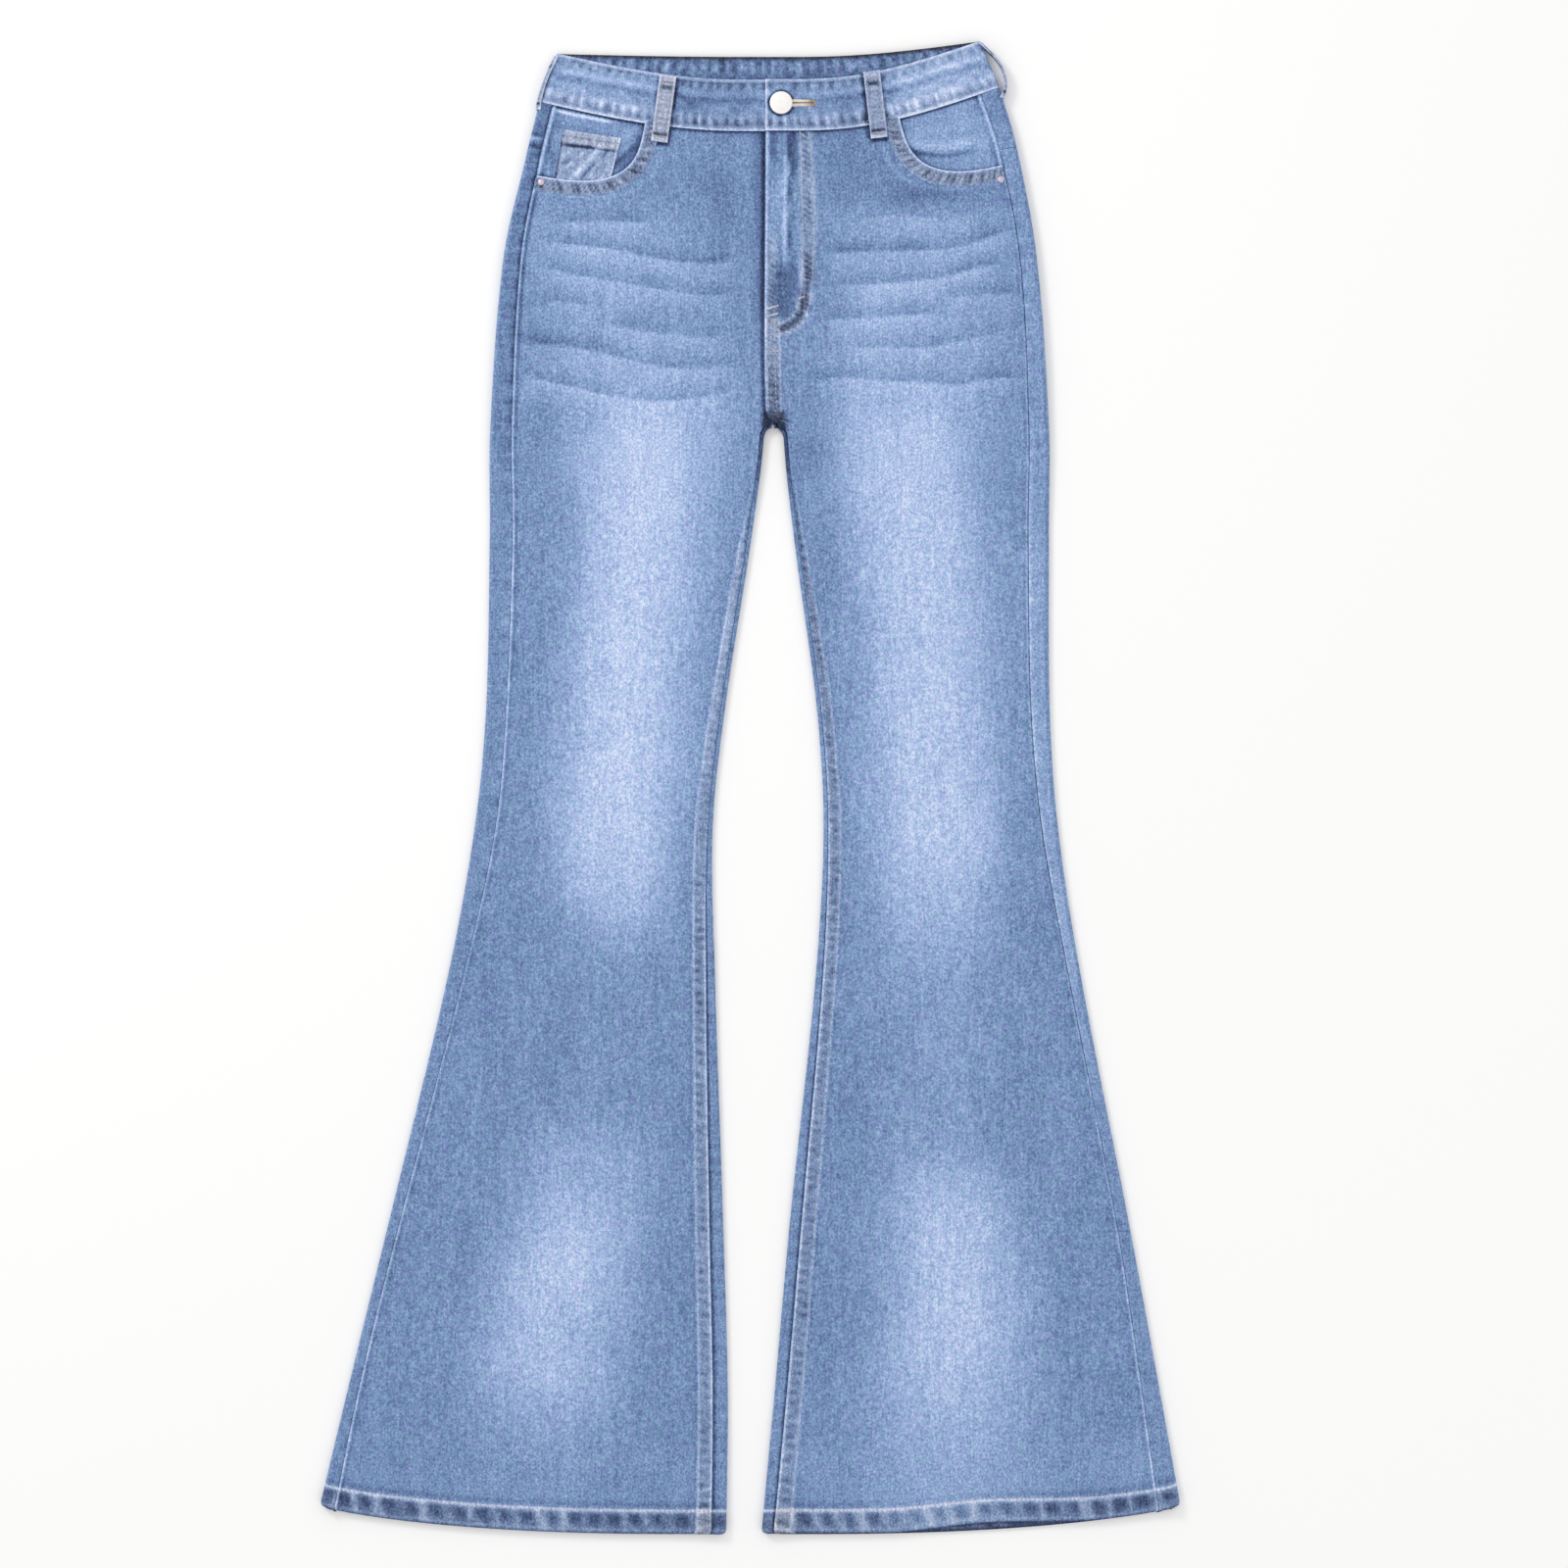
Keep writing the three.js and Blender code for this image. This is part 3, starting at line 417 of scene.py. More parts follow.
def curve_through(knots, count=160):
    """A smooth curve through a few places."""
    knots = np.array(knots, float)
    ends = np.vstack([2 * knots[0] - knots[1], knots, 2 * knots[-1] - knots[-2]])
    line = []
    for i in range(len(knots) - 1):
        a, b, c, d = ends[i : i + 4]
        t = np.linspace(0, 1, count // (len(knots) - 1))[:, None]
        line.append(0.5 * (2 * b + (c - a) * t + (2 * a - 5 * b + 4 * c - d) * t**2 + (3 * b - a - 3 * c + d) * t**3))
    return np.concatenate(line)


def crease_at(x, y):
    """How deep the hip creases are at a place: below 0 in a trough, above 0 on a fold."""
    total = np.zeros(np.broadcast(x, y).shape)
    for depth, *knots in CREASES:
        curve = curve_through(knots, 60)
        first, last = curve[0, 0], curve[-1, 0]
        ends = smooth(first - CREASE_END, first + CREASE_END, x)
        ends = ends * (1 - smooth(last - CREASE_END, last + CREASE_END, x))
        uneven = 0.85 + 0.15 * np.sin(x * 0.11 + knots[0][1])
        off = y - np.interp(x, curve[:, 0], curve[:, 1])
        above = smooth(-1.2, 1.2, off)
        trough = np.exp(-((np.maximum(off, 0) / TROUGH_WIDTH) ** 2.6))
        fold = np.exp(-((np.maximum(-off, 0) / FOLD_WIDTH) ** 1.6))
        total += depth * ends * uneven * ((1 - above) * fold - above * trough)
    return total


CREASE_HEIGHT = 0.32


def face_point(leg, y, x):
    """Points of a leg's face on its front, at row y and x, as three arrays."""
    section = section_at(leg, y)
    reach = np.abs(x - section["outer"])
    reach = np.where(section["forked"], np.minimum(reach, np.abs(x - section["inner"])), reach)
    place_y = row_y(section, y, x, "front_fall")
    z = face_z(leg, y, reach) + CREASE_HEIGHT * crease_at(x, place_y)
    if leg is LEFT:
        z = z + lap_lift(x, y)
    return x, place_y, z


def face_above(leg, x, y):
    """The height of a leg's face above places on the table."""
    row = np.array(y, float)
    for _ in range(6):
        row = row + y - face_point(leg, row, x)[1]
    return face_point(leg, row, x)[2]


def ripples(along, spacing, seed, uneven=0.4):
    """Puckers along a seam: uneven ups and downs from -1 to 1, about spacing apart."""
    random = np.random.default_rng(seed)
    low, high = float(np.min(along)) - spacing, float(np.max(along)) + 2 * spacing
    count = int((high - low) / spacing * 2) + 4
    knots = low + np.cumsum(spacing / 2 * random.uniform(1 - uneven, 1 + uneven, count))
    heights = random.uniform(0.35, 1.0, count) * np.where(np.arange(count) % 2, 1, -1)
    i = np.clip(np.searchsorted(knots, along) - 1, 0, count - 2)
    t = np.clip((along - knots[i]) / (knots[i + 1] - knots[i]), 0, 1)
    return heights[i] + (heights[i + 1] - heights[i]) * t * t * (3 - 2 * t)


# Paler and darker places of the wash, as a start, an end, a half width and a wash.
WORN = (
    ((-158, 336), (-118, 336), 11, -0.12),
    ((-152, 281), (-128, 281), 14, -0.15),
    ((-88, 357), (-48, 357), 10, -0.11),
    ((-137, 210), (-137, 40), 17, -0.08),
    ((-24, 452), (-24, 418), 14, -0.10),
    ((-206, -404), (-140, -404), 22, -0.10),
    ((-150, -275), (-130, -275), 22, 0.08),
    ((-22, -180), (-22, -250), 10, 0.06),
    ((80, 401), (126, 401), 13, -0.11),
    ((51, 376), (51, 350), 18, -0.12),
    ((51, 296), (51, 256), 17, -0.17),
    ((62, 206), (62, 140), 11, -0.12),
    ((85, 128), (85, 74), 12, -0.13),
    ((95, 225), (112, 225), 17, 0.07),
    ((114, 447), (142, 447), 10, -0.10),
    ((270, -512), (330, -512), 18, 0.12),
    ((30, -512), (50, -512), 16, 0.09),
    ((107, -178), (107, -204), 12, -0.08),
    ((173, -30), (173, -54), 15, 0.09),
    ((218, 330), (218, 110), 12, 0.06),
)


def scuffs_at(x, y, scuffs):
    """The sum of short soft streaks, each between two places."""
    total = np.zeros(np.broadcast(x, y).shape)
    for start, end, half, strength in scuffs:
        way = np.subtract(end, start) / math.dist(start, end)
        along = (x - start[0]) * way[0] + (y - start[1]) * way[1]
        across = (x - start[0]) * way[1] - (y - start[1]) * way[0]
        beyond = np.maximum(np.abs(along - math.dist(start, end) / 2) - math.dist(start, end) / 2, 0)
        total += strength * np.exp(-((across / half) ** 2) - (beyond / (1.2 * half)) ** 2)
    return total


def wash_at(leg, x, y):
    """How pale a leg's front is: the wash's fades and patches, with the painted shade and highlight of the hip creases.
    """
    fade = {name: column(leg["fades"], FADE_COLUMNS, name, y) for name in FADE_COLUMNS[1:]}
    far = np.abs(x - fade["middle"]) / fade["half"]
    pale = fade["strength"] * np.exp(-0.69 * far**2.6)
    # The creases paint shade into their troughs and a highlight onto their folds.
    return 0.31 + pale + 0.2 * crease_at(x, y) + scuffs_at(x, y, WORN)


def grid_normals(points, outward=(0, 0, 1), at=(0, 0)):
    """The normals of a grid of points, turned so that the one at the given place looks outward."""
    normal = np.cross(np.gradient(points, axis=0), np.gradient(points, axis=1))
    normal[[0, -1], :, 1] = 0
    normal[:, [0, -1], 0] = 0
    normal /= np.maximum(np.linalg.norm(normal, axis=2, keepdims=True), 1e-9)
    return normal if normal[at] @ np.array(outward, float) > 0 else -normal


def shell(name, points, thickness, wash, keep=None, material=None, inner_wash=None, grey=0, **facing):
    """A closed wall of cloth: points (rows, columns, 3) are its outer face in millimetres, and
    the inner face lies thickness below. keep tells which of its squares are cloth, grey how
    much of their blue the places lost."""
    rows, columns = points.shape[:2]
    normal = grid_normals(points, **facing)
    thick = np.broadcast_to(np.asarray(thickness, float), (rows, columns))
    inner = points - normal * thick[..., None]
    inner[..., 2] = np.maximum(inner[..., 2], 0.02)
    vertices = np.concatenate([points.reshape(-1, 3), inner.reshape(-1, 3)]) * MM
    index = np.arange(rows * columns).reshape(rows, columns)
    a, b, c, d = index[:-1, :-1], index[1:, :-1], index[1:, 1:], index[:-1, 1:]
    quads = np.stack([a, b, c, d], axis=-1)
    quads = quads[keep] if keep is not None else quads.reshape(-1, 4)
    middle = rows // 2, columns // 2
    across = np.cross(
        points[middle[0] + 1, middle[1]] - points[middle],
        points[middle[0] + 1, middle[1] + 1] - points[middle[0] + 1, middle[1]],
    )
    if across @ normal[middle] < 0:
        quads = quads[:, ::-1]
    size = rows * columns
    edges = np.concatenate([quads[:, [i, (i + 1) % 4]] for i in range(4)]).astype(np.int64)
    rim = edges[~np.isin(edges[:, 0] * size + edges[:, 1], edges[:, 1] * size + edges[:, 0])]
    sides = np.stack([rim[:, 1], rim[:, 0], rim[:, 0] + size, rim[:, 1] + size], axis=1)
    faces = np.concatenate([quads, quads[:, ::-1] + size, sides])
    outer_wash = np.broadcast_to(wash, (rows, columns)).reshape(-1)
    below = outer_wash if inner_wash is None else np.broadcast_to(inner_wash, (rows, columns)).reshape(-1)
    washes = np.concatenate([outer_wash, below])
    greys = np.tile(np.broadcast_to(grey, (rows, columns)).reshape(-1), 2)
    return cloth_piece(name, vertices, faces, material or LEG_DENIM, washes, greys)


def cloth_piece(name, vertices, faces, material, washes=None, greys=None):
    used, compact = np.unique(faces, return_inverse=True)
    faces = compact.reshape(faces.shape)
    mesh = bpy.data.meshes.new(name)
    mesh.vertices.add(len(used))
    mesh.vertices.foreach_set("co", vertices[used].astype(np.float32).ravel())
    mesh.loops.add(faces.size)
    mesh.loops.foreach_set("vertex_index", faces.astype(np.int32).ravel())
    mesh.polygons.add(len(faces))
    mesh.polygons.foreach_set("loop_start", np.arange(0, faces.size, faces.shape[1], dtype=np.int32))
    mesh.update(calc_edges=True)
    mesh.validate()
    if washes is not None:
        tone = mesh.attributes.new("tone", "FLOAT", "POINT")
        tone.data.foreach_set("value", np.interp(washes[used], WASHES, TONES).astype(np.float32))
        grey = mesh.attributes.new("grey", "FLOAT", "POINT")
        grey.data.foreach_set("value", greys[used].astype(np.float32))
    mesh.materials.append(material)
    piece = bpy.data.objects.new(name, mesh)
    bpy.context.scene.collection.objects.link(piece)
    shade_cloth(piece)
    return piece


def shade_cloth(piece, degrees=48):
    bpy.ops.object.select_all(action="DESELECT")
    piece.select_set(True)
    bpy.context.view_layer.objects.active = piece
    bpy.ops.object.shade_smooth_by_angle(angle=math.radians(degrees))
    piece.select_set(False)


def along_edges(width, count, near=(0, 0.5, 1.2, 2.2, 3.4, 4.8, 6.4, 8, 9.4, 10.6, 11.6, 12.8, 15)):
    """Distances across a panel of the given widths: close together by both of its seams."""
    near = np.array(near, float)
    middle = np.linspace(0, 1, count + 1)[1:-1]
    left = np.broadcast_to(near, (len(width), len(near)))
    inside = near[-1] + (width[:, None] - 2 * near[-1]) * middle
    right = width[:, None] - left[:, ::-1]
    return np.concatenate([left, inside, right], axis=1)


def leg_rows(leg, top):
    """Rows of a leg from top to the hem, closer together at the fork and in the hem."""
    hem = hem_of(leg)
    fork = [CROTCH_Y + 6, CROTCH_Y + FORK_OPEN, CROTCH_Y, CROTCH_Y - 0.5, CROTCH_Y - 1.5, CROTCH_Y - 4]
    upper = np.linspace(top, fork[0], int((top - fork[0]) / 1.6) + 1)[:-1]
    lower = np.linspace(CROTCH_Y - ARCH_DEPTH, hem + HEM + 2, 232)
    turn = [hem + HEM + 0.6, hem + HEM - 0.5, hem + HEM - 1.8]
    last = np.linspace(hem + HEM - 3.5, hem + 1, 9)
    return np.concatenate([upper, fork, lower, turn, last, [hem + 0.3, hem]])


def in_hem(leg, y):
    return y < hem_of(leg) + HEM


# The hem is turned up twice and stitched once near its upper edge, which twists the cloth into
# slanting ropes.
ROPE_SPACING = 17
ROPE_SLANT = 0.22
HEM_ROW = 2.0  # the hem's stitches lie this far below its upper edge


def hem_relief(leg, x, y, seed, depth=1):
    """Height, wash and grey of a turned-up hem at row y: pale stitched line, dark hollows between
    narrow pale ropes, painted shade just above its upper edge, and a worn lower edge with painted
    shade where it turns under."""
    low = y - hem_of(leg)
    up = low / HEM
    inside = (up < 1) * 1.0
    ropes = ripples(x + ROPE_SLANT * low, ROPE_SPACING, seed, 0.16)
    hollows = depth * smooth(-0.3, 0.4, -ropes) * np.exp(-(((up - 0.55) / 0.27) ** 2))
    bars = depth * smooth(0.3, 0.8, ropes) * smooth(0.02, 0.2, up) * (1 - smooth(0.8, 0.92, up))
    row = np.exp(-(((low - HEM + HEM_ROW) / 1.1) ** 2))
    # Painted shade just above the hem's upper edge.
    above = np.exp(-(((low - HEM - 1.5) / 1.3) ** 2)) * (up >= 1)
    height = inside * (0.2 * bars - 0.32 * hollows + 0.15 * row)
    wash = inside * (0.36 * bars - 0.26 * hollows + 0.98 * row - 0.12) - 0.14 * above
    # Painted shade where the lower edge turns under, beside its worn pale line.
    wash = wash + 0.16 * np.exp(-(((low - 2.2) / 1.0) ** 2)) - 0.3 * np.exp(-((low / 0.9) ** 2))
    return height, wash, inside * (0.16 + 0.14 * bars + 0.1 * row - 0.1 * hollows)


# Seam thread
# Cotton-wrapped polyester, tan once and faded to a greyish brown by the wash. Every stitch is a
# short plump thread that sinks into the cloth at both ends.

THREAD = 0.5
STITCH = 2.5
PITCH = 3.3
THREAD_COLOURS = ((172, 168, 184), (140, 138, 160), (200, 190, 198))


def thread_material(name, colours):
    material, shader = new_material(name, 0.75)
    links = material.node_tree.links
    shader.inputs["Sheen Weight"].default_value = 0.2
    space = node_of(material, "ShaderNodeTexCoord").outputs["Object"]
    patches = noise_of(material, space, (90, 90, 90), 2)
    ramp = material.node_tree.nodes.new("ShaderNodeValToRGB")
    ramp.color_ramp.elements.new(0.5).color = linear(colours[0])
    ramp.color_ramp.elements[0].position = 0.3
    ramp.color_ramp.elements[0].color = linear(colours[1])
    ramp.color_ramp.elements[2].position = 0.7
    ramp.color_ramp.elements[2].color = linear(colours[2])
    links.new(patches, ramp.inputs["Fac"])
    links.new(ramp.outputs["Color"], shader.inputs["Base Color"])
    twist = noise_of(material, space, (2600, 2600, 2600), 1)
    bump = node_of(material, "ShaderNodeBump", Strength=0.4, Distance=0.0001)
    links.new(twist, bump.inputs["Height"])
    links.new(bump.outputs["Normal"], shader.inputs["Normal"])
    return material


SEAM_THREAD = thread_material("seam_thread", THREAD_COLOURS)


def surface_of(*pieces):
    """The joined surface of pieces, to lay things on."""
    vertices, faces = [], []
    for piece in pieces:
        start = len(vertices)
        vertices.extend(v.co.copy() for v in piece.data.vertices)
        faces.extend([i + start for i in face.vertices] for face in piece.data.polygons)
    return BVHTree.FromPolygons(vertices, faces)


def laid(surface, line, lift=0.0, side=1):
    """A line of places seen from above (side 1) or below (side -1), as points and normals on the
    surface, lift millimetres off it."""
    points, normals = [], []
    for x, y in line:
        start = Vector((x * MM, y * MM, side * 0.05))
        hit, normal, _, _ = surface.ray_cast(start, Vector((0, 0, -side)))
        if hit is not None:
            points.append([x, y, hit.z / MM + side * lift])
            normals.append(normal * math.copysign(1, normal.z * side))
    return np.array(points), np.array(normals)


def resampled(points, step):
    """Points at even steps along a line."""
    points = np.asarray(points, float)
    along = np.concatenate([[0], np.cumsum(np.linalg.norm(np.diff(points, axis=0), axis=1))])
    at = np.arange(step / 2, along[-1], step)
    return np.stack([np.interp(at, along, points[:, i]) for i in range(points.shape[1])], axis=1)


def stitches(
    name, lines, material=SEAM_THREAD, length=STITCH, width=THREAD, across=False, seed=1
):
    """One stitch at each point of the lines, as one object. Each line is points and normals."""
    random = np.random.default_rng(seed)
    rings = np.array([(-1, 0.3, -0.9), (-0.7, 0.85, 0.0), (0, 1, 0.35), (0.7, 0.85, 0.0), (1, 0.3, -0.9)])
    corners = np.array([(1, 0), (0, 1), (-1, 0), (0, -1)])
    template = np.array([(a, r * u, h + r * v) for a, r, h in rings for u, v in corners])
    quads = []
    for ring in range(len(rings) - 1):
        for i in range(4):
            a, b = 4 * ring + i, 4 * ring + (i + 1) % 4
            quads.append((a, a + 4, b + 4, b))
    last = 4 * (len(rings) - 1)
    quads += [(0, 1, 2, 3), (last + 3, last + 2, last + 1, last)]
    quads = np.array(quads)
    vertices, faces = [], []
    for points, normals in lines:
        if len(points) < 2:
            continue
        run = np.gradient(points, axis=0)
        run /= np.linalg.norm(run, axis=1, keepdims=True)
        side = np.cross(normals, run)
        side /= np.linalg.norm(side, axis=1, keepdims=True)
        if across:
            run, side = side, -run
        angle = random.normal(0, 0.06, (len(points), 1))
        run, side = run * np.cos(angle) + side * np.sin(angle), side * np.cos(angle) - run * np.sin(angle)
        size = length / 2 * random.uniform(0.9, 1.08, (len(points), 1, 1))
        flat = template[None]
        placed = (
            points[:, None]
            + run[:, None] * flat[..., :1] * size
            + side[:, None] * flat[..., 1:2] * width / 2
            + normals[:, None] * flat[..., 2:] * width / 2
        )
        start = sum(len(v) for v in vertices)
        vertices.append(placed.reshape(-1, 3))
        offsets = start + len(template) * np.arange(len(points))
        faces.append((quads[None] + offsets[:, None, None]).reshape(-1, 4))
    vertices = np.concatenate(vertices) * MM
    piece = cloth_piece(name, vertices, np.concatenate(faces), material)
    shade_cloth(piece, 80)
    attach(piece, "root")
    return piece


def stitch_line(surface, line, lift=0.05, side=1, pitch=PITCH):
    return laid(surface, resampled(line, pitch), lift, side)


# Front panels
# Two pieces of denim, cut from the waistband seam to the hem with a rounded pocket mouth. The
# left one laps over the right at the fly, both lie on the backs, and the inseam is felled.

FELL = 11.2  # width of the felled inseam and crotch seam
FELL_RISE = 0.45
SIDE_ROLL = 3.2  # the pressed edge of the side seam
FLY_WIDTH = 37


def mouth_outline(mouth, shrink=0.0, count=60):
    """The rounded corner of a pocket mouth from the waist to the side, seen from above."""
    angle = np.linspace(0, math.pi / 2, count)
    across = mouth["across"] - math.copysign(shrink, mouth["across"])
    u = across * np.cos(angle) ** (2 / mouth["bend"])
    v = -(mouth["deep"] - shrink) * np.sin(angle) ** (2 / mouth["bend"])
    return u, v


def turn_mouth(mouth, u, v, back=False):
    """From the mouth's own directions to the table's, or back."""
    cos, sin = math.cos(mouth["tilt"]), math.sin(mouth["tilt"])
    if back:
        x, y = u - mouth["corner"][0], v - mouth["corner"][1]
        return x * cos + y * sin, -x * sin + y * cos
    return mouth["corner"][0] + u * cos - v * sin, mouth["corner"][1] + u * sin + v * cos


def mouth_depth(leg, x, y):
    """Above 0 on the front's cloth, below 0 inside its pocket mouth, about in millimetres."""
    mouth = leg["mouth"]
    u, v = turn_mouth(mouth, x, y, back=True)
    u = u / mouth["across"]
    v = -v / mouth["deep"]
    far = (np.maximum(u, 0) ** mouth["bend"] + np.maximum(v, 0) ** mouth["bend"]) ** (1 / mouth["bend"])
    return (far - 1) * mouth["deep"]


def front_grid(leg):
    rows = leg_rows(leg, leg["sections"][0][0] - GAP / 2)
    section = section_at(leg, rows)
    sign = leg["sign"]
    start = section["outer"] + sign * (section["side_turn"] + GAP / 2)
    lap = FLY_LAP * smooth(282, 300, rows) - GAP / 2 if leg is RIGHT else GAP / 2
    seam = column(FRONT_SEAM, SEAM_COLUMNS, "x", rows - section["front_fall"]) + lap
    clear = GAP / 2 + FORK_CLEAR * smooth(CROTCH_Y - ARCH_DEPTH, CROTCH_Y - 4, rows)
    inseam = section["inner"] - sign * (section["inseam_turn"] + clear)
    end = np.where(section["open"], inseam, seam)
    width = np.abs(end - start)
    across = along_edges(width, 50)
    x = start[:, None] + sign * across
    y = np.broadcast_to(rows[:, None], x.shape)
    spread = {key: np.broadcast_to(value[:, None], x.shape) for key, value in section.items()}
    return x, y, across, width[:, None] - across, spread


POCKET_EDGE = 11.5  # width of the turned-in edge of a pocket mouth
EDGE_LAYER = 0.55
EDGE_STEPS = (-0.35, -0.35, -0.2, 0.5, 1.3, 2.3, 3.5, 4.7, 5.9, 7.1, 8.3, 9.5, 10.5, 11.2, 11.8)
EDGE_LIFTS = (-1.0, -0.4, 0.25, 0.6, 0.6, 0.5, 0.48, 0.46, 0.46, 0.46, 0.46, 0.44, 0.3, 0.05, -0.25)
# The wash is darkest down the edge's wall into the mouth, as painted shade, and palest on its top.
EDGE_WASH = (0.1, 0.4, 1.1, 0.95, 0.5, 0.24, 0.22, 0.25, 0.28, 0.26, 0.24, 0.28, 0.42, 0.36, 0.3)


def pocket_edge(leg, seed):
    """The cloth turned in round a pocket mouth, as a raised strip with a rounded edge."""
    mouth = leg["mouth"]
    u, v = mouth_outline(mouth, count=400)
    tail = np.linspace(0, 1, 12)[1:]
    way = math.copysign(1, mouth["across"])
    start_v = np.linspace(16, 0, 12)[:-1]
    u = np.concatenate([np.full(11, mouth["across"]), u, -way * 16 * tail])
    v = np.concatenate([start_v, v, np.full(11, -mouth["deep"])])
    line = resampled(np.stack(turn_mouth(mouth, u, v), axis=1), 1.3)
    section = section_at(leg, line[:, 1])
    limit = section["outer"] + leg["sign"] * (section["side_turn"] + 0.4)
    inside = (line[:, 0] - limit) * leg["sign"] > 0
    below = band_foot(leg, line[:, 0]) - line[:, 1] > -3
    line = line[inside & below]
    run = np.gradient(line, axis=0)
    run /= np.linalg.norm(run, axis=1, keepdims=True)
    out = np.stack([-run[:, 1], run[:, 0]], axis=1)
    middle = turn_mouth(mouth, mouth["across"] / 2, -mouth["deep"] / 2)
    if (line[len(line) // 2] - middle) @ out[len(out) // 2] < 0:
        out = -out
    x = line[:, :1] + out[:, :1] * np.array(EDGE_STEPS)
    y = line[:, 1:] + out[:, 1:] * np.array(EDGE_STEPS)
    along = 1.3 * np.arange(len(line))[:, None]
    slanted = along + 0.35 * np.array(EDGE_STEPS)
    puckers = 0.6 * ripples(slanted, 4.6, seed + 70) + 0.4 * ripples(slanted, 11, seed + 75)
    puckers = puckers + 0.45 * ripples(along - 0.8 * np.array(EDGE_STEPS), 3, seed + 76)
    band = np.exp(-(((np.array(EDGE_STEPS) - 6) / 4.2) ** 2))
    z = face_above(leg, x, y) + np.array(EDGE_LIFTS) + 0.13 * puckers * band
    strength, pale, grey = (0.62, 0, 0.36) if leg is RIGHT else (0.52, 0.04, 0.4)
    wash = np.array(EDGE_WASH) + (strength * puckers + pale) * band
    name = f"pocket_edge_{leg['name']}"
    piece = shell(name, np.stack([x, y, z], axis=-1), EDGE_LAYER, wash, grey=grey * band, at=(0, 6))
    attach(piece, "root")
    surface = surface_of(piece)
    lines = []
    for inward in (2.6, 9.2):
        row = line + out * inward
        lines.append(stitch_line(surface, row[3:-1]))
    stitches(f"pocket_edge_stitches_{leg['name']}", lines, seed=seed)
    return piece


def band_foot(leg, x):
    """Where the waistband seam runs, on the front."""
    edge = leg["sections"][0][1]
    t = (x - edge) / (CENTRE_X - edge)
    return leg["sections"][0][0] - leg["sections"][0][3] * np.sin(np.clip(1.15 * t, 0, 1) * math.pi / 2)


# Streaks down the fly, pressed and worn into it by the zip below: x, top, foot, half width, wash.
FLY_STREAKS = (
    (26.4, 480, 398, 1.7, 0.42),
    (24.5, 470, 415, 4.5, 0.16),
    (30.4, 508, 388, 1.5, -0.34),
    (34.0, 472, 432, 1.6, 0.14),
    (33.5, 497, 462, 4.0, -0.24),
    (17.5, 500, 470, 3.2, -0.22),
    (18.0, 455, 395, 3.0, 0.16),
    (25.5, 394, 350, 10.5, -0.28),
    (21.0, 398, 385, 1.4, -0.12),
)
# The two rows of the fly's stitches, from the waistband down and round to the crotch seam.
J_OUTER = ((44, 495), (47.7, 447), (47.7, 402), (45.5, 371), (41, 354), (34, 346), (26, 342.6), (14, 341.5))
J_INNER = ((37.7, 495), (39, 447), (39.6, 402), (38.3, 374), (34.4, 359), (28, 352.5), (21, 349.6), (14, 348.8))
J_MIDDLE = (curve_through(J_OUTER, 80) + curve_through(J_INNER, 80)) / 2


def off_curve(x, y, curve):
    """How far places are from a curve, seen from above."""
    away = np.full(x.shape, 1e3)
    for a, b in zip(curve[:-1], curve[1:]):
        way = b - a
        t = np.clip(((x - a[0]) * way[0] + (y - a[1]) * way[1]) / max(way @ way, 1e-9), 0, 1)
        away = np.minimum(away, np.hypot(x - a[0] - t * way[0], y - a[1] - t * way[1]))
    return away


FRONT_LOOPS = (("right", (-68.5, 486.9), (-61.8, 536.5)), ("left", (97.3, 489.9), (91.4, 540.2)))
LOOP = {"width": 12.5, "thick": 1, "bow": 1.3}


def loop_shade(x, y):
    """The painted shadow beside and below the front belt loops, 1 at their inner edges and feet."""
    total = np.zeros(np.broadcast(x, y).shape)
    for side, foot, top in FRONT_LOOPS:
        way = (np.array(top) - foot) / math.dist(foot, top)
        inner = 1 if side == "right" else -1
        along = (x - foot[0]) * way[0] + (y - foot[1]) * way[1]
        across = ((x - foot[0]) * way[1] - (y - foot[1]) * way[0]) * inner
        length = math.dist(foot, top)
        beside = np.exp(-(((across - LOOP["width"] / 2 - 0.9) / 1.5) ** 2))
        beside = beside * smooth(-1, 2, along) * (1 - smooth(length - 2, length + 1, along))
        outside = np.exp(-(((across + LOOP["width"] / 2 + 0.5) / 1.0) ** 2))
        outside = outside * smooth(-1, 2, along) * (1 - smooth(length - 8, length, along))
        below = np.exp(-(((along + 1.2) / 1.5) ** 2)) * (1 - smooth(5.5, 8, np.abs(across)))
        total = total + np.clip(beside + 0.45 * outside + below, 0, 1)
    return np.clip(total, 0, 1)


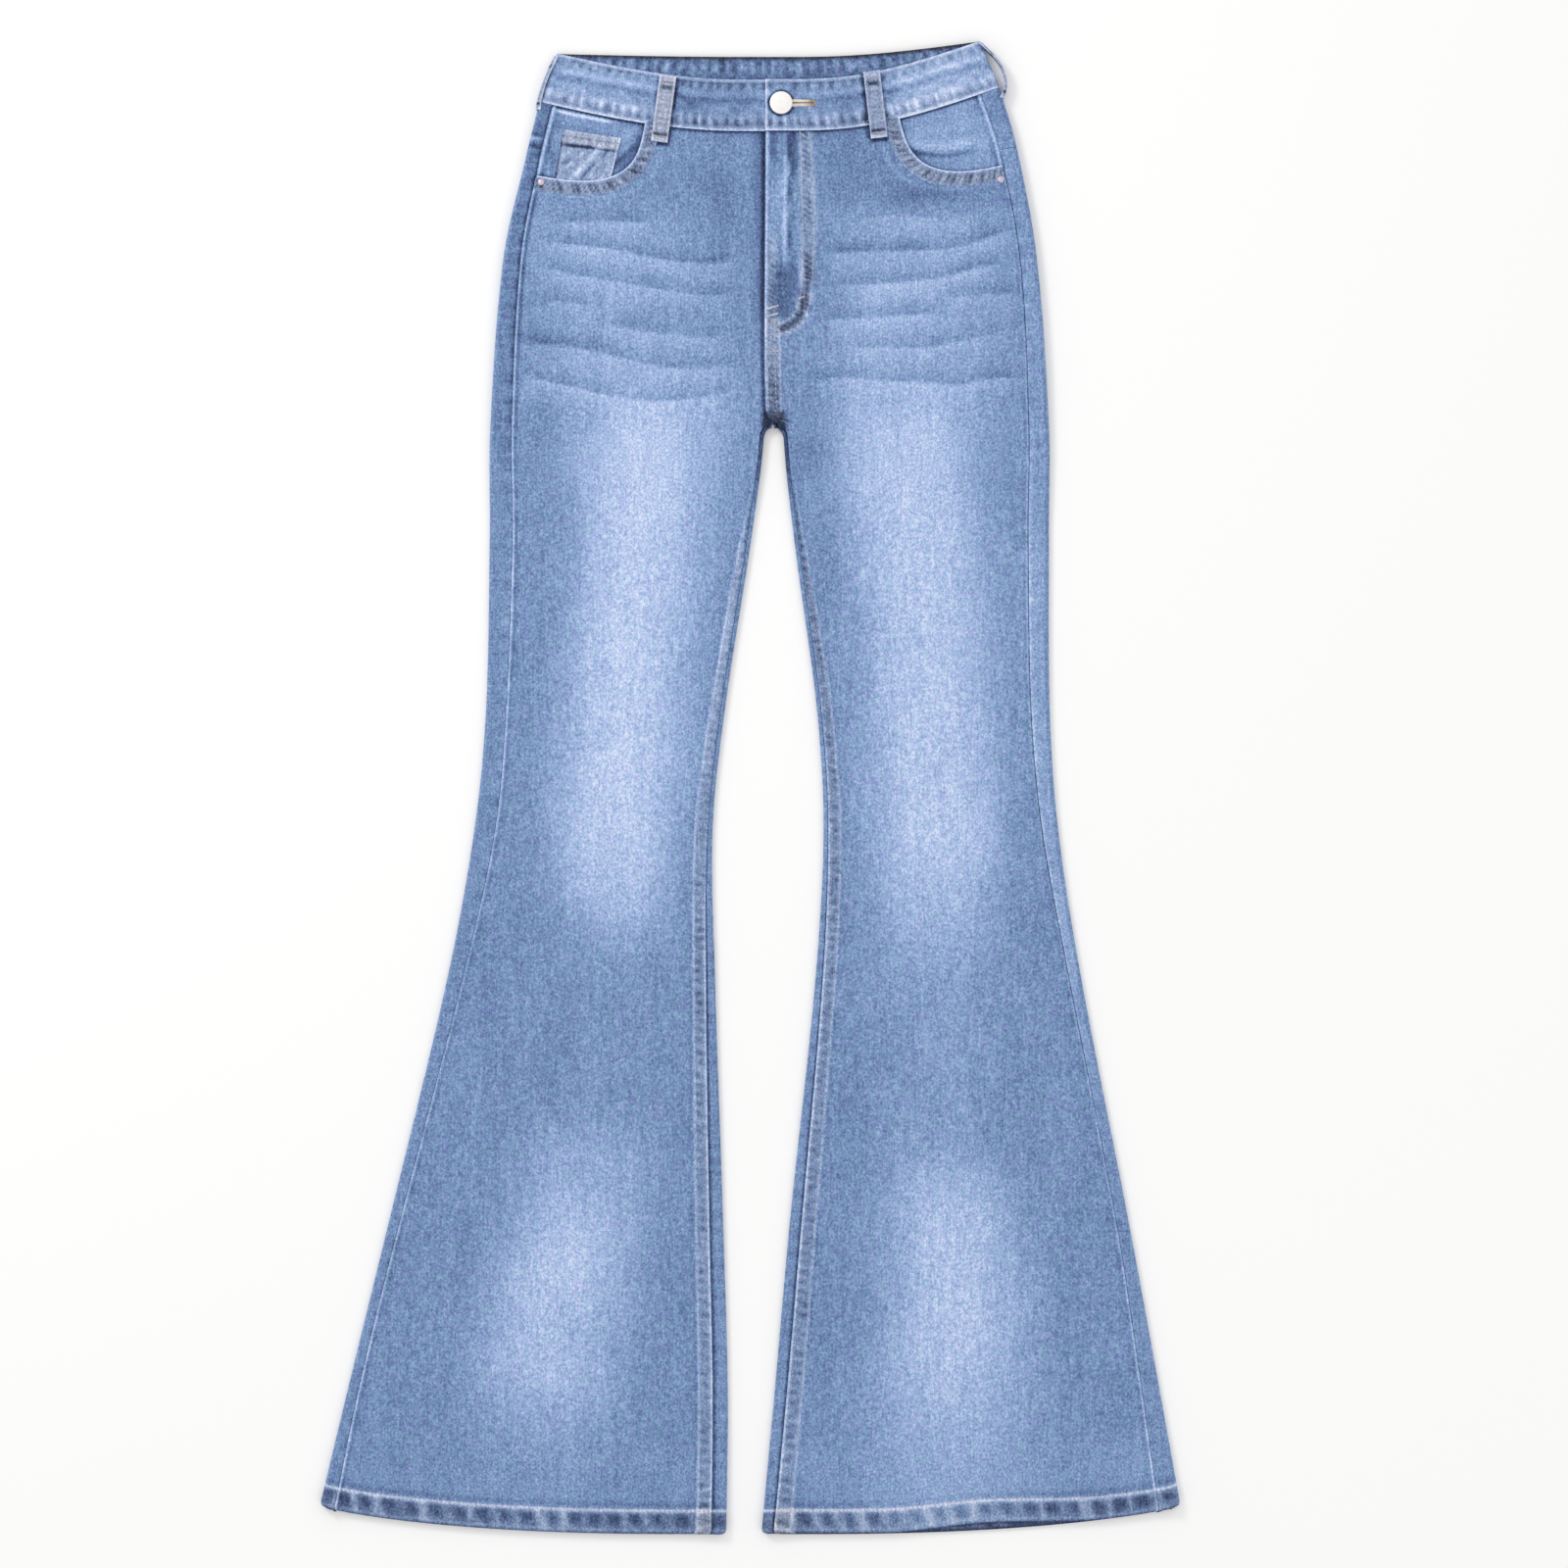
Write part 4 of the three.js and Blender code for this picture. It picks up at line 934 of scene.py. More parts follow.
# Wear and painted shade along the seams by height: the side seam's pale edge, the painted shade
# inside it, the painted shadow at its edge, and the inseam's pale edge, with painted shade at it
# near the fork, and felled strip.
SEAM_WEAR_AND_SHADE = {
    "right": (
        (545, 0.50, 0.38, 0.10, -0.25, 0.00),
        (380, 0.42, 0.36, 0.15, -0.25, 0.00),
        (300, 0.50, 0.22, 0.10, -0.25, 0.00),
        (210, 0.64, 0.12, 0.00, -0.25, 0.05),
        (150, 0.72, 0.12, 0.00, -0.15, 0.20),
        (3, 0.62, 0.12, 0.00, -0.10, 0.04),
        (-60, 0.42, 0.10, 0.00, 0.20, -0.02),
        (-140, 0.30, 0.10, 0.00, 0.60, -0.02),
        (-330, 0.50, 0.10, 0.00, 0.65, 0.02),
        (-541, 0.85, 0.12, 0.00, 0.65, 0.02),
    ),
    "left": (
        (545, 0.26, 0.12, 0.35, -0.25, 0.00),
        (373, 0.14, 0.05, 0.40, -0.25, 0.00),
        (300, 0.28, 0.05, 0.34, -0.25, -0.10),
        (210, 0.36, 0.05, 0.34, -0.25, -0.10),
        (77, 0.28, 0.05, 0.36, 0.20, -0.10),
        (-71, 0.14, 0.05, 0.45, 0.50, -0.06),
        (-150, 0.24, 0.05, 0.25, 0.62, -0.02),
        (-290, 0.36, 0.06, 0.10, 0.65, 0.00),
        (-400, 0.56, 0.08, 0.00, 0.65, 0.00),
        (-541, 0.75, 0.08, 0.00, 0.65, 0.00),
    ),
}


def seam_wear_and_shade(leg, y):
    table = np.array(SEAM_WEAR_AND_SHADE[leg["name"]])[::-1]
    return [np.interp(y, table[:, 0], table[:, i]) for i in range(1, 6)]


fronts = {}
for leg in LEGS:
    x, y, from_side, from_inner, section = front_grid(leg)
    px, py, pz = face_point(leg, y, x)
    share = from_side / (from_side + from_inner)
    ride = smooth(0.12, 0.45, share) * (1 - smooth(0.45, 0.72, share))
    py = py + leg["hem_rise"] * ride * smooth(-460, hem_of(leg), y)
    wash = wash_at(leg, px, py)
    grey = np.zeros(wash.shape)
    seed = 11 if leg is RIGHT else 12
    # The side seam: a pale pressed edge, with a line of painted shade inside it over the hip and a painted shadow at
    # its very edge.
    side_puckers = ripples(y[:, :1], 21, seed)
    roll = np.exp(-(((from_side - 0.9) / 0.8) ** 2))
    pz = pz + 0.35 * roll - 0.35 * np.exp(-((from_side / 0.6) ** 2))
    pz = pz + 0.16 * side_puckers * np.exp(-from_side / 5)
    bright, shade, edge_shadow, outline_wash, fell_wash = seam_wear_and_shade(leg, y)
    wash = wash + bright * roll * (0.85 + 0.15 * side_puckers)
    wash = wash - shade * np.exp(-(((from_side - 2.9) / 1.2) ** 2))
    wash = wash + 0.07 * side_puckers * np.exp(-from_side / 8)
    wash = wash - edge_shadow * np.exp(-((from_side / 0.55) ** 2))
    # The felled inseam, between two pale lines, with painted shade in the groove beside it.
    fell = column(leg["fell"], FELL_COLUMNS, "width", y)
    crotch_seam = (~section["open"]) & (y < 352) & (leg is LEFT)
    fell = np.where(section["open"], fell, np.where(crotch_seam, FELL, 0))
    felled = smooth(0.5, 3, fell)
    fell_puckers = ripples(y[:, :1] + 0.3 * from_inner, 6.5, seed + 20)
    flat_top = smooth(0, 1.0, from_inner) * (1 - smooth(fell, fell + 1.0, from_inner))
    pz = pz + felled * flat_top * (FELL_RISE + 0.14 * fell_puckers)
    far_line = np.exp(-(((from_inner - fell - 0.2) / 0.9) ** 2))
    groove = np.exp(-(((from_inner - fell - 2.6) / 1.1) ** 2))
    wash = wash + felled * (0.38 * far_line - 0.07 * groove + fell_wash * flat_top)
    wash = wash + felled * flat_top * 0.24 * fell_puckers
    grey = grey + 0.12 * felled * flat_top
    # The inseam's edge line: pale lower down, painted shade near the fork.
    outline = np.exp(-(((from_inner - 1.0) / 0.85) ** 2))
    wash = wash + np.where(section["open"], outline_wash * felled * outline, 0)
    speckle = ripples(y[:, :1] + 0.6 * from_inner, 3.6, 27) * ripples(from_inner - 0.4 * y, 5, 28)
    on_crotch = crotch_seam * flat_top
    wash = wash + on_crotch * (0.4 * speckle + 0.13 - 0.26 * smooth(332, 292, py) - 0.14 * fell_puckers) + 0.5 * crotch_seam * outline
    grey = grey + 0.15 * on_crotch
    # Painted shadow in the fork, darkest at its top.
    to_fork = np.maximum(np.abs(px - CENTRE_X - 1.1) / 1.25, np.abs(py - CROTCH_Y - 5))
    dark = 1 - smooth(6.2, 8.2, to_fork)
    wash = wash - dark * (wash + 0.02 + 0.34 * smooth(282, 275, py) - 0.16 * speckle * on_crotch)
    grey = grey + 0.12 * dark
    # The fly: a pale edge on the left front, over a shadow on the right one.
    seam = column(FRONT_SEAM, SEAM_COLUMNS, "x", py)
    if leg is LEFT:
        fly = smooth(335, 352, y)
        edge_line = np.exp(-(((from_inner - 1.2) / 0.95) ** 2))
        pz = pz + fly * 0.35 * edge_line
        wash = wash + fly * 0.64 * edge_line
        on_fly = fly * (1 - smooth(FLY_WIDTH - 3, FLY_WIDTH + 2, from_inner))
        folds = ripples(from_inner[:1] + 0 * y, 8, 5) * (0.75 + 0.25 * ripples(y[:, :1], 60, 6))
        pz = pz + on_fly * 0.12 * folds
        wash = wash + on_fly * 0.03 * folds
        wander = 0.9 * ripples(y[:, :1], 45, 7)
        for streak_x, top, foot, half, strength in FLY_STREAKS:
            off = (px - streak_x - wander) / half
            ends = smooth(foot - 6, foot + 8, py) * (1 - smooth(top - 10, top + 6, py))
            wash = wash + strength * np.exp(-(off**2)) * ends
            pz = pz + 0.35 * strength * np.exp(-(off**2)) * ends
        rungs = ripples(py + 0.7 * px, 4.2, 8)
        from_j = off_curve(px, py, J_MIDDLE)
        j_foot = smooth(19, 24, px)
        j_band = (1 - smooth(2.2, 3.6, from_j)) * j_foot
        j_lines = np.exp(-(((from_j - 4.1) / 0.9) ** 2)) * j_foot
        low = smooth(408, 392, py)
        wash = wash + j_band * (0.26 * rungs + 0.01 - 0.33 * low) + j_lines * (0.32 + 0.16 * low + 0.12 * rungs)
        pz = pz + 0.12 * j_band * rungs + 0.15 * j_lines
        grey = grey + (0.2 + 0.14 * low) * j_band + 0.2 * j_lines
        marks = np.exp(-(((from_inner - 5.5) / 3.2) ** 2)) * smooth(345, 352, py) * smooth(425, 405, py)
        wash = wash + 0.2 * marks * rungs
        grey = grey + 0.25 * marks
    else:
        past = seam - px
        wash = wash - 0.5 * np.exp(-(((past - 1.2) / 1.4) ** 2)) * (~section["open"])
        wash = wash - 0.2 * np.exp(-((past / 7.5) ** 2)) * smooth(330, 375, py)
    hem = in_hem(leg, y)
    hem_height, hem_wash, hem_grey = hem_relief(leg, px, y, seed + 40)
    pz = pz + hem * HEM_TURN + hem_height - 0.5 * np.exp(-(((y - hem_of(leg)) / 0.7) ** 2))
    wash = wash + hem_wash
    grey = grey + hem_grey
    patch = hem * (1 - smooth(fell + 1, fell + 2.5, from_inner))
    wash = wash + patch * (0.3 - 0.5 * outline)
    grey = grey + 0.25 * patch
    # Painted shadow under the waistband's foot.
    below_band = leg["sections"][0][0] - y
    wash = wash - 0.6 * np.exp(-((below_band / 1.7) ** 2)) - 0.12 * np.exp(-((below_band / 6) ** 2))
    # Painted shadows of the front belt loops.
    wash = wash - 0.7 * loop_shade(px, py)
    points = np.stack([px, py, pz], axis=-1)
    depth = mouth_depth(leg, px, py)
    wash = wash + 0.14 * np.exp(-(((depth - 11.5) / 1.2) ** 2)) * (px * leg["sign"] > -300)
    cloth = depth > 1.2
    corners = cloth[:-1, :-1] & cloth[1:, :-1] & cloth[1:, 1:] & cloth[:-1, 1:]
    thickness = DENIM + HEM_TURN * hem
    piece = shell(f"front_panel_{leg['name']}", points, thickness, wash, keep=corners, grey=grey)
    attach(piece, "root")
    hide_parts(f"front_{leg['name']}")
    edge = pocket_edge(leg, seed)
    name = f"back_panel_{leg['name']}"
    fronts[leg["name"]] = piece, edge

# The seams of the fronts are stitched in two rows: the inseams, the fly's J and the seam below it.
FELL_ROWS = (2.3, 8.2)


for leg in LEGS:
    surface = surface_of(*fronts[leg["name"]])
    rows = np.linspace(CROTCH_Y - 6, hem_of(leg) + HEM - 1, 500)
    section = section_at(leg, rows)
    lines = []
    fell = column(leg["fell"], FELL_COLUMNS, "width", rows)
    for inward in (0 * rows + FELL_ROWS[0], fell - 1.6):
        x = section["inner"] - leg["sign"] * (section["inseam_turn"] + GAP / 2 + FORK_CLEAR + inward)
        line = np.stack([x, row_y(section, rows, x, "front_fall")], axis=1)
        lines.append(stitch_line(surface, line[fell > 4.6]))
    stitches(f"inseam_stitches_{leg['name']}", lines, seed=31)
    row = np.full(500, hem_of(leg) + HEM - HEM_ROW)
    section = section_at(leg, row)
    start = section["outer"] + leg["sign"] * (section["side_turn"] + 1)
    end = section["inner"] - leg["sign"] * (section["inseam_turn"] + 1)
    x = start + (end - start) * np.linspace(0, 1, 500)
    share = np.linspace(0, 1, 500)
    ride = leg["hem_rise"] * smooth(0.12, 0.45, share) * (1 - smooth(0.45, 0.72, share))
    line = np.stack([x, row_y(section, row, x, "front_fall") + ride], axis=1)
    stitches(f"hem_stitches_{leg['name']}", [stitch_line(surface, line)], seed=32)

surface = surface_of(*fronts["left"])
heights = np.linspace(352, CROTCH_Y + 13, 60)
seam_x = column(FRONT_SEAM, SEAM_COLUMNS, "x", heights)
lines = [stitch_line(surface, curve_through(J_OUTER)), stitch_line(surface, curve_through(J_INNER))]
for inward in FELL_ROWS:
    lines.append(stitch_line(surface, np.stack([seam_x + inward, heights], axis=1)))
PALE_THREAD = thread_material("pale_thread", ((204, 204, 214), (172, 174, 194), (226, 224, 230)))
stitches("fly_stitches", lines, PALE_THREAD, seed=33)
BAR_TACKS = (
    ((11.5, 360.5), (21.5, 363.5)),
    ((11.5, 355), (21, 357.5)),
    ((36, 368.5), (41, 370.5)),
    ((13.5, 329), (21.5, 329)),
)
tacks = [stitch_line(surface, curve_through(ends, 40), 0.15, pitch=0.55) for ends in BAR_TACKS]
stitches("fly_bar_tacks", tacks, PALE_THREAD, length=1.7, width=0.5, across=True, seed=34)

# Back panels
# Two wider pieces of denim under the fronts. Their edges roll over the sides and the inseams, so
# a strip of them shows outside each front, puckered by the seam.

YOKE_ROW = 1


def back_points(leg, rows, hip=False):
    """The back's face from the side seam, over the side and along the table to the inner edge."""
    section = section_at(leg, rows)
    sign = leg["sign"]
    low = underside(rows)
    turned = HEM_TURN * in_hem(leg, rows)
    half = (face_z(leg, rows, FOLD_REACH) + turned - low) / 2
    width = np.abs(section["inner"] - section["outer"])
    parts = []
    kinds = []

    def top(reach, edge, way):
        x = edge + way * reach
        parts.append((x, row_y(section, rows, x, "front_fall"), face_z(leg, rows, reach) + turned))

    def fold(angle, edge, way):
        x = edge + way * FOLD_REACH * (1 - math.sin(angle))
        z = low + half * (1 + math.cos(angle))
        parts.append((x, row_y(section, rows, x, "front_fall"), z))

    strip = section["side_turn"] - GAP / 2
    for t in np.linspace(0, 1, 12)[:-1]:
        reach = strip + (FOLD_REACH - strip) * t
        top(reach, section["outer"], sign)
        kinds.append(("strip", t))
    for angle in np.linspace(0, math.pi, 9):
        fold(angle, section["outer"], sign)
        kinds.append(("fold", angle))
    seat = np.where(section["forked"], width - FOLD_REACH, width - 2 * FOLD_REACH)
    for t in np.linspace(0, 1, 34)[1:-1]:
        x = section["outer"] + sign * (FOLD_REACH + (seat - FOLD_REACH) * t)
        parts.append((x, row_y(section, rows, x, "back_fall"), low))
        kinds.append(("flat", t))
    inner = section["inner"]
    turn = section["inseam_turn"] - GAP / 2
    rim = np.linspace(0, 1, 15)
    for step, t in enumerate(rim):
        flat_x = section["outer"] + sign * (seat + (width - seat) * t)
        if step < 9:
            angle = math.pi * (1 - step / 8)
            fold(angle, inner, -sign)
        else:
            reach = FOLD_REACH + (turn - FOLD_REACH) * (step - 8) / 6
            top(reach, inner, -sign)
        x, y, z = parts.pop()
        seam_y = row_y(section, rows, flat_x, "back_fall")
        forked = section["forked"]
        parts.append(
            (np.where(forked, x, flat_x), np.where(forked, y, seam_y), np.where(forked, z, low))
        )
        kinds.append(("rim", t))
    points = np.stack([np.stack(part, axis=-1) for part in parts], axis=1)
    return points, kinds


STRIP_SPACING = 16


def back_wash(leg, rows, kinds, points, seed):
    """Puckers and wear of a back panel, with painted shade beside the front's edge over the hip and at the inner rim by
    the fork, as wash, height and grey.
    """
    path = np.cumsum(np.linalg.norm(np.diff(points[-1, :, :2], axis=0, prepend=points[-1, :1, :2]), axis=1))
    _, hem_wash, hem_grey = hem_relief(leg, path[None, :], rows[:, None], seed + 5, 0.6)
    puckers = ripples(rows, STRIP_SPACING, seed)
    fine = ripples(rows, 7, seed + 1)
    inner_puckers = ripples(rows, 11, seed + 2)
    wash = np.full(points.shape[:2], 0.31)
    lift = np.zeros(points.shape[:2])
    hip = smooth(150, 380, rows)
    for i, (kind, t) in enumerate(kinds):
        if kind == "strip":
            near = math.exp(-((t / 0.45) ** 2))
            wash[:, i] += 0.13 * puckers * near + 0.05 * fine - 0.08 * hip
            beside = math.exp(-((t / 0.16) ** 2))
            if leg is LEFT:
                wash[:, i] += (0.2 - 0.04 * hip) * smooth(-330, -80, rows)
                wash[:, i] += (0.3 - 0.3 * hip) * smooth(-330, -100, rows) * beside
                wash[:, i] += 0.08 * smooth(-100, -330, rows) * beside
            else:
                # Painted shadow on the strip beside the front's edge over the hip.
                wash[:, i] += 0.1 * beside * smooth(-60, 120, rows) * (1 - hip) - 0.28 * hip * beside
            lift[:, i] = (0.16 * puckers + 0.05 * fine) * math.sin(math.pi * t) - 0.3 * math.exp(-((t / 0.1) ** 2))
        elif kind == "fold" and t < math.pi / 2 + 0.1:
            wash[:, i] += 0.07 * math.sin(t) + 0.04 * fine - 0.03 * hip
        elif kind == "rim":
            wash[:, i] += np.where(rows <= CROTCH_Y, 0.08 * inner_puckers, 0)
            # Painted shade where the rim meets the front's inseam, and over the rim near the fork.
            wash[:, i] -= np.where(rows <= CROTCH_Y, 0.45 * math.exp(-(((1 - t) / 0.09) ** 2)), 0)
            wash[:, i] -= 0.4 * smooth(200, 262, rows) * (rows <= CROTCH_Y)
    return wash + hem_wash, lift, hem_grey


# The creases on the hidden side, below the seat, behind the knees and low on the legs, pressed
# into the cloth that lies on the table, and the places that wear paled there.
HIDDEN_CREASES = (
    (1.0, (-158, 268), (-112, 258), (-52, 262), (-18, 271)),
    (0.8, (-150, 244), (-104, 236), (-60, 233)),
    (0.55, (-96, 218), (-60, 210), (-28, 214)),
    (0.9, (-146, 38), (-110, 30), (-66, 34)),
    (1.0, (-142, 8), (-100, 2), (-58, 12)),
    (0.7, (-120, -22), (-92, -27), (-62, -20)),
    (0.85, (-140, -52), (-96, -60), (-64, -54)),
    (0.5, (-170, -260), (-120, -268), (-80, -262)),
    (0.4, (-200, -420), (-150, -428), (-96, -421)),
    (0.9, (22, 264), (80, 256), (140, 263), (182, 272)),
    (1.0, (40, 240), (96, 229), (150, 236)),
    (0.6, (64, 206), (104, 200), (136, 205)),
    (1.0, (86, 44), (130, 35), (176, 41)),
    (0.75, (92, 14), (140, 8), (180, 15)),
    (0.95, (84, -18), (124, -26), (172, -20)),
    (0.6, (100, -50), (140, -56)),
    (0.45, (90, -240), (150, -250), (200, -243)),
    (0.5, (60, -448), (120, -455), (190, -447)),
)
HIDDEN_WORN = (
    ((-92, 235), (-98, 95), 36, 0.24),
    ((-128, -330), (-140, -430), 38, 0.2),
    ((-80, 478), (-50, 478), 14, 0.1),
    ((120, 228), (126, 100), 38, 0.26),
    ((142, -320), (150, -440), 40, 0.2),
    ((90, 480), (62, 480), 13, 0.1),
)


def hidden_side(leg, rows, points, kinds):
    """Dents and wear of the face that lies on the table, as height and wash: painted shade in the dents and a painted
    highlight on the folds beside them, with the worn places.
    """
    flat = np.array([kind == "flat" for kind, _ in kinds]) * 1.0
    x, y = points[..., 0], points[..., 1]
    dents, folds = np.zeros(x.shape), np.zeros(x.shape)
    for depth, *places in HIDDEN_CREASES:
        if places[0][0] * leg["sign"] < 0:
            away = off_curve(x, y, curve_through(places, 18))
            dents = np.maximum(dents, depth * np.exp(-((away / 5.5) ** 2)))
            folds = np.maximum(folds, depth * np.exp(-(((away - 9) / 4) ** 2)))
    sewn = np.exp(-(((rows[:, None] - hem_of(leg) - HEM + HEM_ROW) / 1.3) ** 2))
    return flat * (0.42 * dents + 0.3 * sewn), flat * (0.12 * folds - 0.16 * dents + scuffs_at(x, y, HIDDEN_WORN))


backs = {}
for leg in LEGS:
    rows = leg_rows(leg, leg["sections"][YOKE_ROW][0] - GAP / 2)
    points, kinds = back_points(leg, rows)
    seed = 61 if leg is RIGHT else 71
    wash, lift, grey = back_wash(leg, rows, kinds, points, seed)
    pressed, worn = hidden_side(leg, rows, points, kinds)
    # worn holds the painted shade and highlight of the hidden creases as well as the wear.
    wash = wash + worn
    points[..., 2] += lift + pressed
    thickness = DENIM + HEM_TURN * in_hem(leg, rows)[:, None] - pressed
    # The back's inner face is painted darker, as shade.
    inner_wash = wash - 0.3
    piece = shell(f"back_panel_{leg['name']}", points, thickness, wash, inner_wash=inner_wash, grey=grey)
    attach(piece, "root")
    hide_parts(f"back_{leg['name']}")
    backs[leg["name"]] = [piece]

# Back yokes
# The wedges of the seat between the back panels and the waistband. Only their ends show from
# the front, above the hip.

STRIP_MARKS = (
    ((-166, 494), (-158, 493), 1.2, -0.3),
    ((-166, 490), (-158, 489), 1.0, 0.3),
    ((-167, 485), (-159, 483), 1.4, -0.3),
    ((-168, 480), (-161, 479), 1.0, 0.2),
)

for leg in LEGS:
    rows = np.linspace(leg["sections"][0][0] - GAP / 2, leg["sections"][YOKE_ROW][0] + GAP / 2, 16)
    points, kinds = back_points(leg, rows)
    wash, lift, _ = back_wash(leg, rows, kinds, points, 81 if leg is RIGHT else 91)
    wash = wash + scuffs_at(points[..., 0], points[..., 1], STRIP_MARKS) * (points[..., 2] > 3)
    points[..., 2] += lift
    piece = shell(f"back_yoke_{leg['name']}", points, DENIM, wash - 0.05)
    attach(piece, "root")
    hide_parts(f"yoke_{leg['name']}")
    backs[leg["name"]].append(piece)

# The hidden rows: two along the seam of the seat, two above each yoke seam and one round each hem.
for leg in LEGS:
    surface = surface_of(*backs[leg["name"]])
    lines = []
    for height in (leg["sections"][YOKE_ROW][0] + FELL_ROWS[0], leg["sections"][YOKE_ROW][0] + FELL_ROWS[1]):
        row = np.full(200, height)
        section = section_at(leg, row)
        x = np.linspace(section["outer"][0] + leg["sign"] * (FOLD_REACH + 2), CENTRE_X - leg["sign"] * 2, 200)
        lines.append(stitch_line(surface, np.stack([x, row_y(section, row, x, "back_fall")], axis=1), -0.05, side=-1))
    if leg is LEFT:
        for beside in FELL_ROWS:
            ends = [(CENTRE_X + beside, CROTCH_Y + 14), (CENTRE_X + beside, 498)]
            lines.append(stitch_line(surface, ends, -0.05, side=-1))
    row = np.full(300, hem_of(leg) + HEM - HEM_ROW)
    section = section_at(leg, row)
    reach = leg["sign"] * (FOLD_REACH + 2)
    x = np.linspace(section["outer"][0] + reach, section["inner"][0] - reach, 300)
    lines.append(stitch_line(surface, np.stack([x, row_y(section, row, x, "back_fall")], axis=1), -0.2, side=-1))
    stitches(f"back_stitches_{leg['name']}", lines, seed=41)

# Back patch pockets
# Five-cornered patches of denim sewn on the seat with two rows of thread. The garment lies on
# them. They are not in the photo.

BACK_POCKET = {"width": 146, "depth": 152, "point": 26, "taper": 7, "top": 432, "thick": 1}
POCKET_HEM = 25
POCKET_ROWS = (3, 9)
UNDER = {"outward": (0, 0, -1)}


def pocket_outline(inset):
    """The five corners of a back pocket, inset from its edges, about its top's middle."""
    side = BACK_POCKET["width"] / 2
    low = BACK_POCKET["depth"]
    taper, point = BACK_POCKET["taper"], BACK_POCKET["point"]
    return [
        (-side + inset, 0),
        (-side + taper + inset, point - low + inset * 0.4),
        (0, -low + inset * 1.05),
        (side - taper - inset, point - low + inset * 0.4),
        (side - inset, 0),
    ]


for leg in LEGS:
    middle = (section_at(leg, np.array([BACK_POCKET["top"]]))["outer"][0] + CENTRE_X) / 2
    v = np.concatenate([np.linspace(0, 0.04, 6), np.linspace(0.05, 0.95, 76), np.linspace(0.96, 1, 6)])
    u = np.concatenate([np.linspace(-1, -0.96, 6), np.linspace(-0.95, 0.95, 80), np.linspace(0.96, 1, 6)])
    v, u = np.meshgrid(v, u, indexing="ij")
    half = BACK_POCKET["width"] / 2 - BACK_POCKET["taper"] * v
    low = BACK_POCKET["depth"] - BACK_POCKET["point"] * np.abs(u)
    px, py = middle + u * half, BACK_POCKET["top"] - v * low
    edge = np.minimum(half * (1 - np.abs(u)), low * (1 - v))
    groove = sum(np.exp(-(((edge - row) / 0.9) ** 2)) for row in POCKET_ROWS)
    hem_row = np.exp(-(((v * low - POCKET_HEM) / 0.9) ** 2)) + np.exp(-(((v * low - 3) / 0.9) ** 2))
    puckers = ripples(px + py, 8, 101)
    grooves = np.clip(np.where(edge < 12, groove, 0) + hem_row, 0, 1)
    pz = 0.2 * grooves + 0.06 * (1 + puckers) * (edge < 10)
    rim = np.minimum(edge, v * low)
    pz = pz + 0.35 * np.exp(-rim / 0.7)
    wash = 0.36 + 0.12 * puckers * np.exp(-edge / 7) - 0.12 * grooves + 0.3 * np.exp(-rim / 1.2)
    wash = wash + 0.12 * np.exp(-((u / 0.6) ** 2 + ((v - 0.55) / 0.4) ** 2))
    thick = np.maximum(BACK_POCKET["thick"] - pz, 0.45)
    piece = shell(f"back_pocket_patch_{leg['name']}", np.stack([px, py, pz], -1), thick, wash, **UNDER)
    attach(piece, "root")
    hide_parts(f"back_pocket_{leg['name']}")
    surface = surface_of(piece)
    lines = []
    for inset in POCKET_ROWS:
        corners = [(middle + x, BACK_POCKET["top"] + y) for x, y in pocket_outline(inset)]
        for a, b in zip(corners[:-1], corners[1:]):
            lines.append(stitch_line(surface, [a, b], -0.22, side=-1))
    for down in (3, POCKET_HEM):
        ends = [(middle - 64, BACK_POCKET["top"] - down), (middle + 64, BACK_POCKET["top"] - down)]
        lines.append(stitch_line(surface, ends, -0.22, side=-1))
    stitches(f"back_pocket_stitches_{leg['name']}", lines, seed=35)

# Pocket facings
# The cloth seen behind each pocket mouth, sewn in at the side seam and under the waistband.
# The left one has a soft fold across it. Painted shade lies beside its rolled edge at the side seam,
# under the edge of the mouth and under the waistband, and in the fold, with a painted highlight on
# the fold's ridge.

FACING = {"across": 112, "bottom": 432}
# Short worn folds, as a start, an end, a half width and a wash.
FACING_SCUFFS = (
    ((-103, 470), (-87, 483), 3.0, -0.30),
    ((-97, 478), (-84, 490), 1.6, -0.16),
    ((-101, 475), (-87, 488), 1.3, 0.20),
    ((-99, 488), (-86, 497), 2.2, 0.16),
    ((-152, 492), (-149, 468), 2.2, -0.16),
    ((-146, 500), (-118, 496), 1.8, -0.12),
)
FACING_RIM = 7  # the cloth comes up to the side seam over this width
MOUTH_SHADE = 0.2
LEFT_FOLD = ((106, 484.5), (114, 482.6), (127, 479), (142.5, 477.2), (155, 478), (172, 482))


def near_line(x, y, knots, width):
    """How close places are to a curve: 1 on it, 0 beyond a few widths."""
    curve = curve_through(knots, 60)
    line = np.interp(x, curve[:, 0], curve[:, 1])
    ends = smooth(curve[0, 0] - 6, curve[0, 0] + 8, x) * (1 - smooth(curve[-1, 0] - 10, curve[-1, 0] + 4, x))
    return np.exp(-(((y - line) / width) ** 2)) * ends


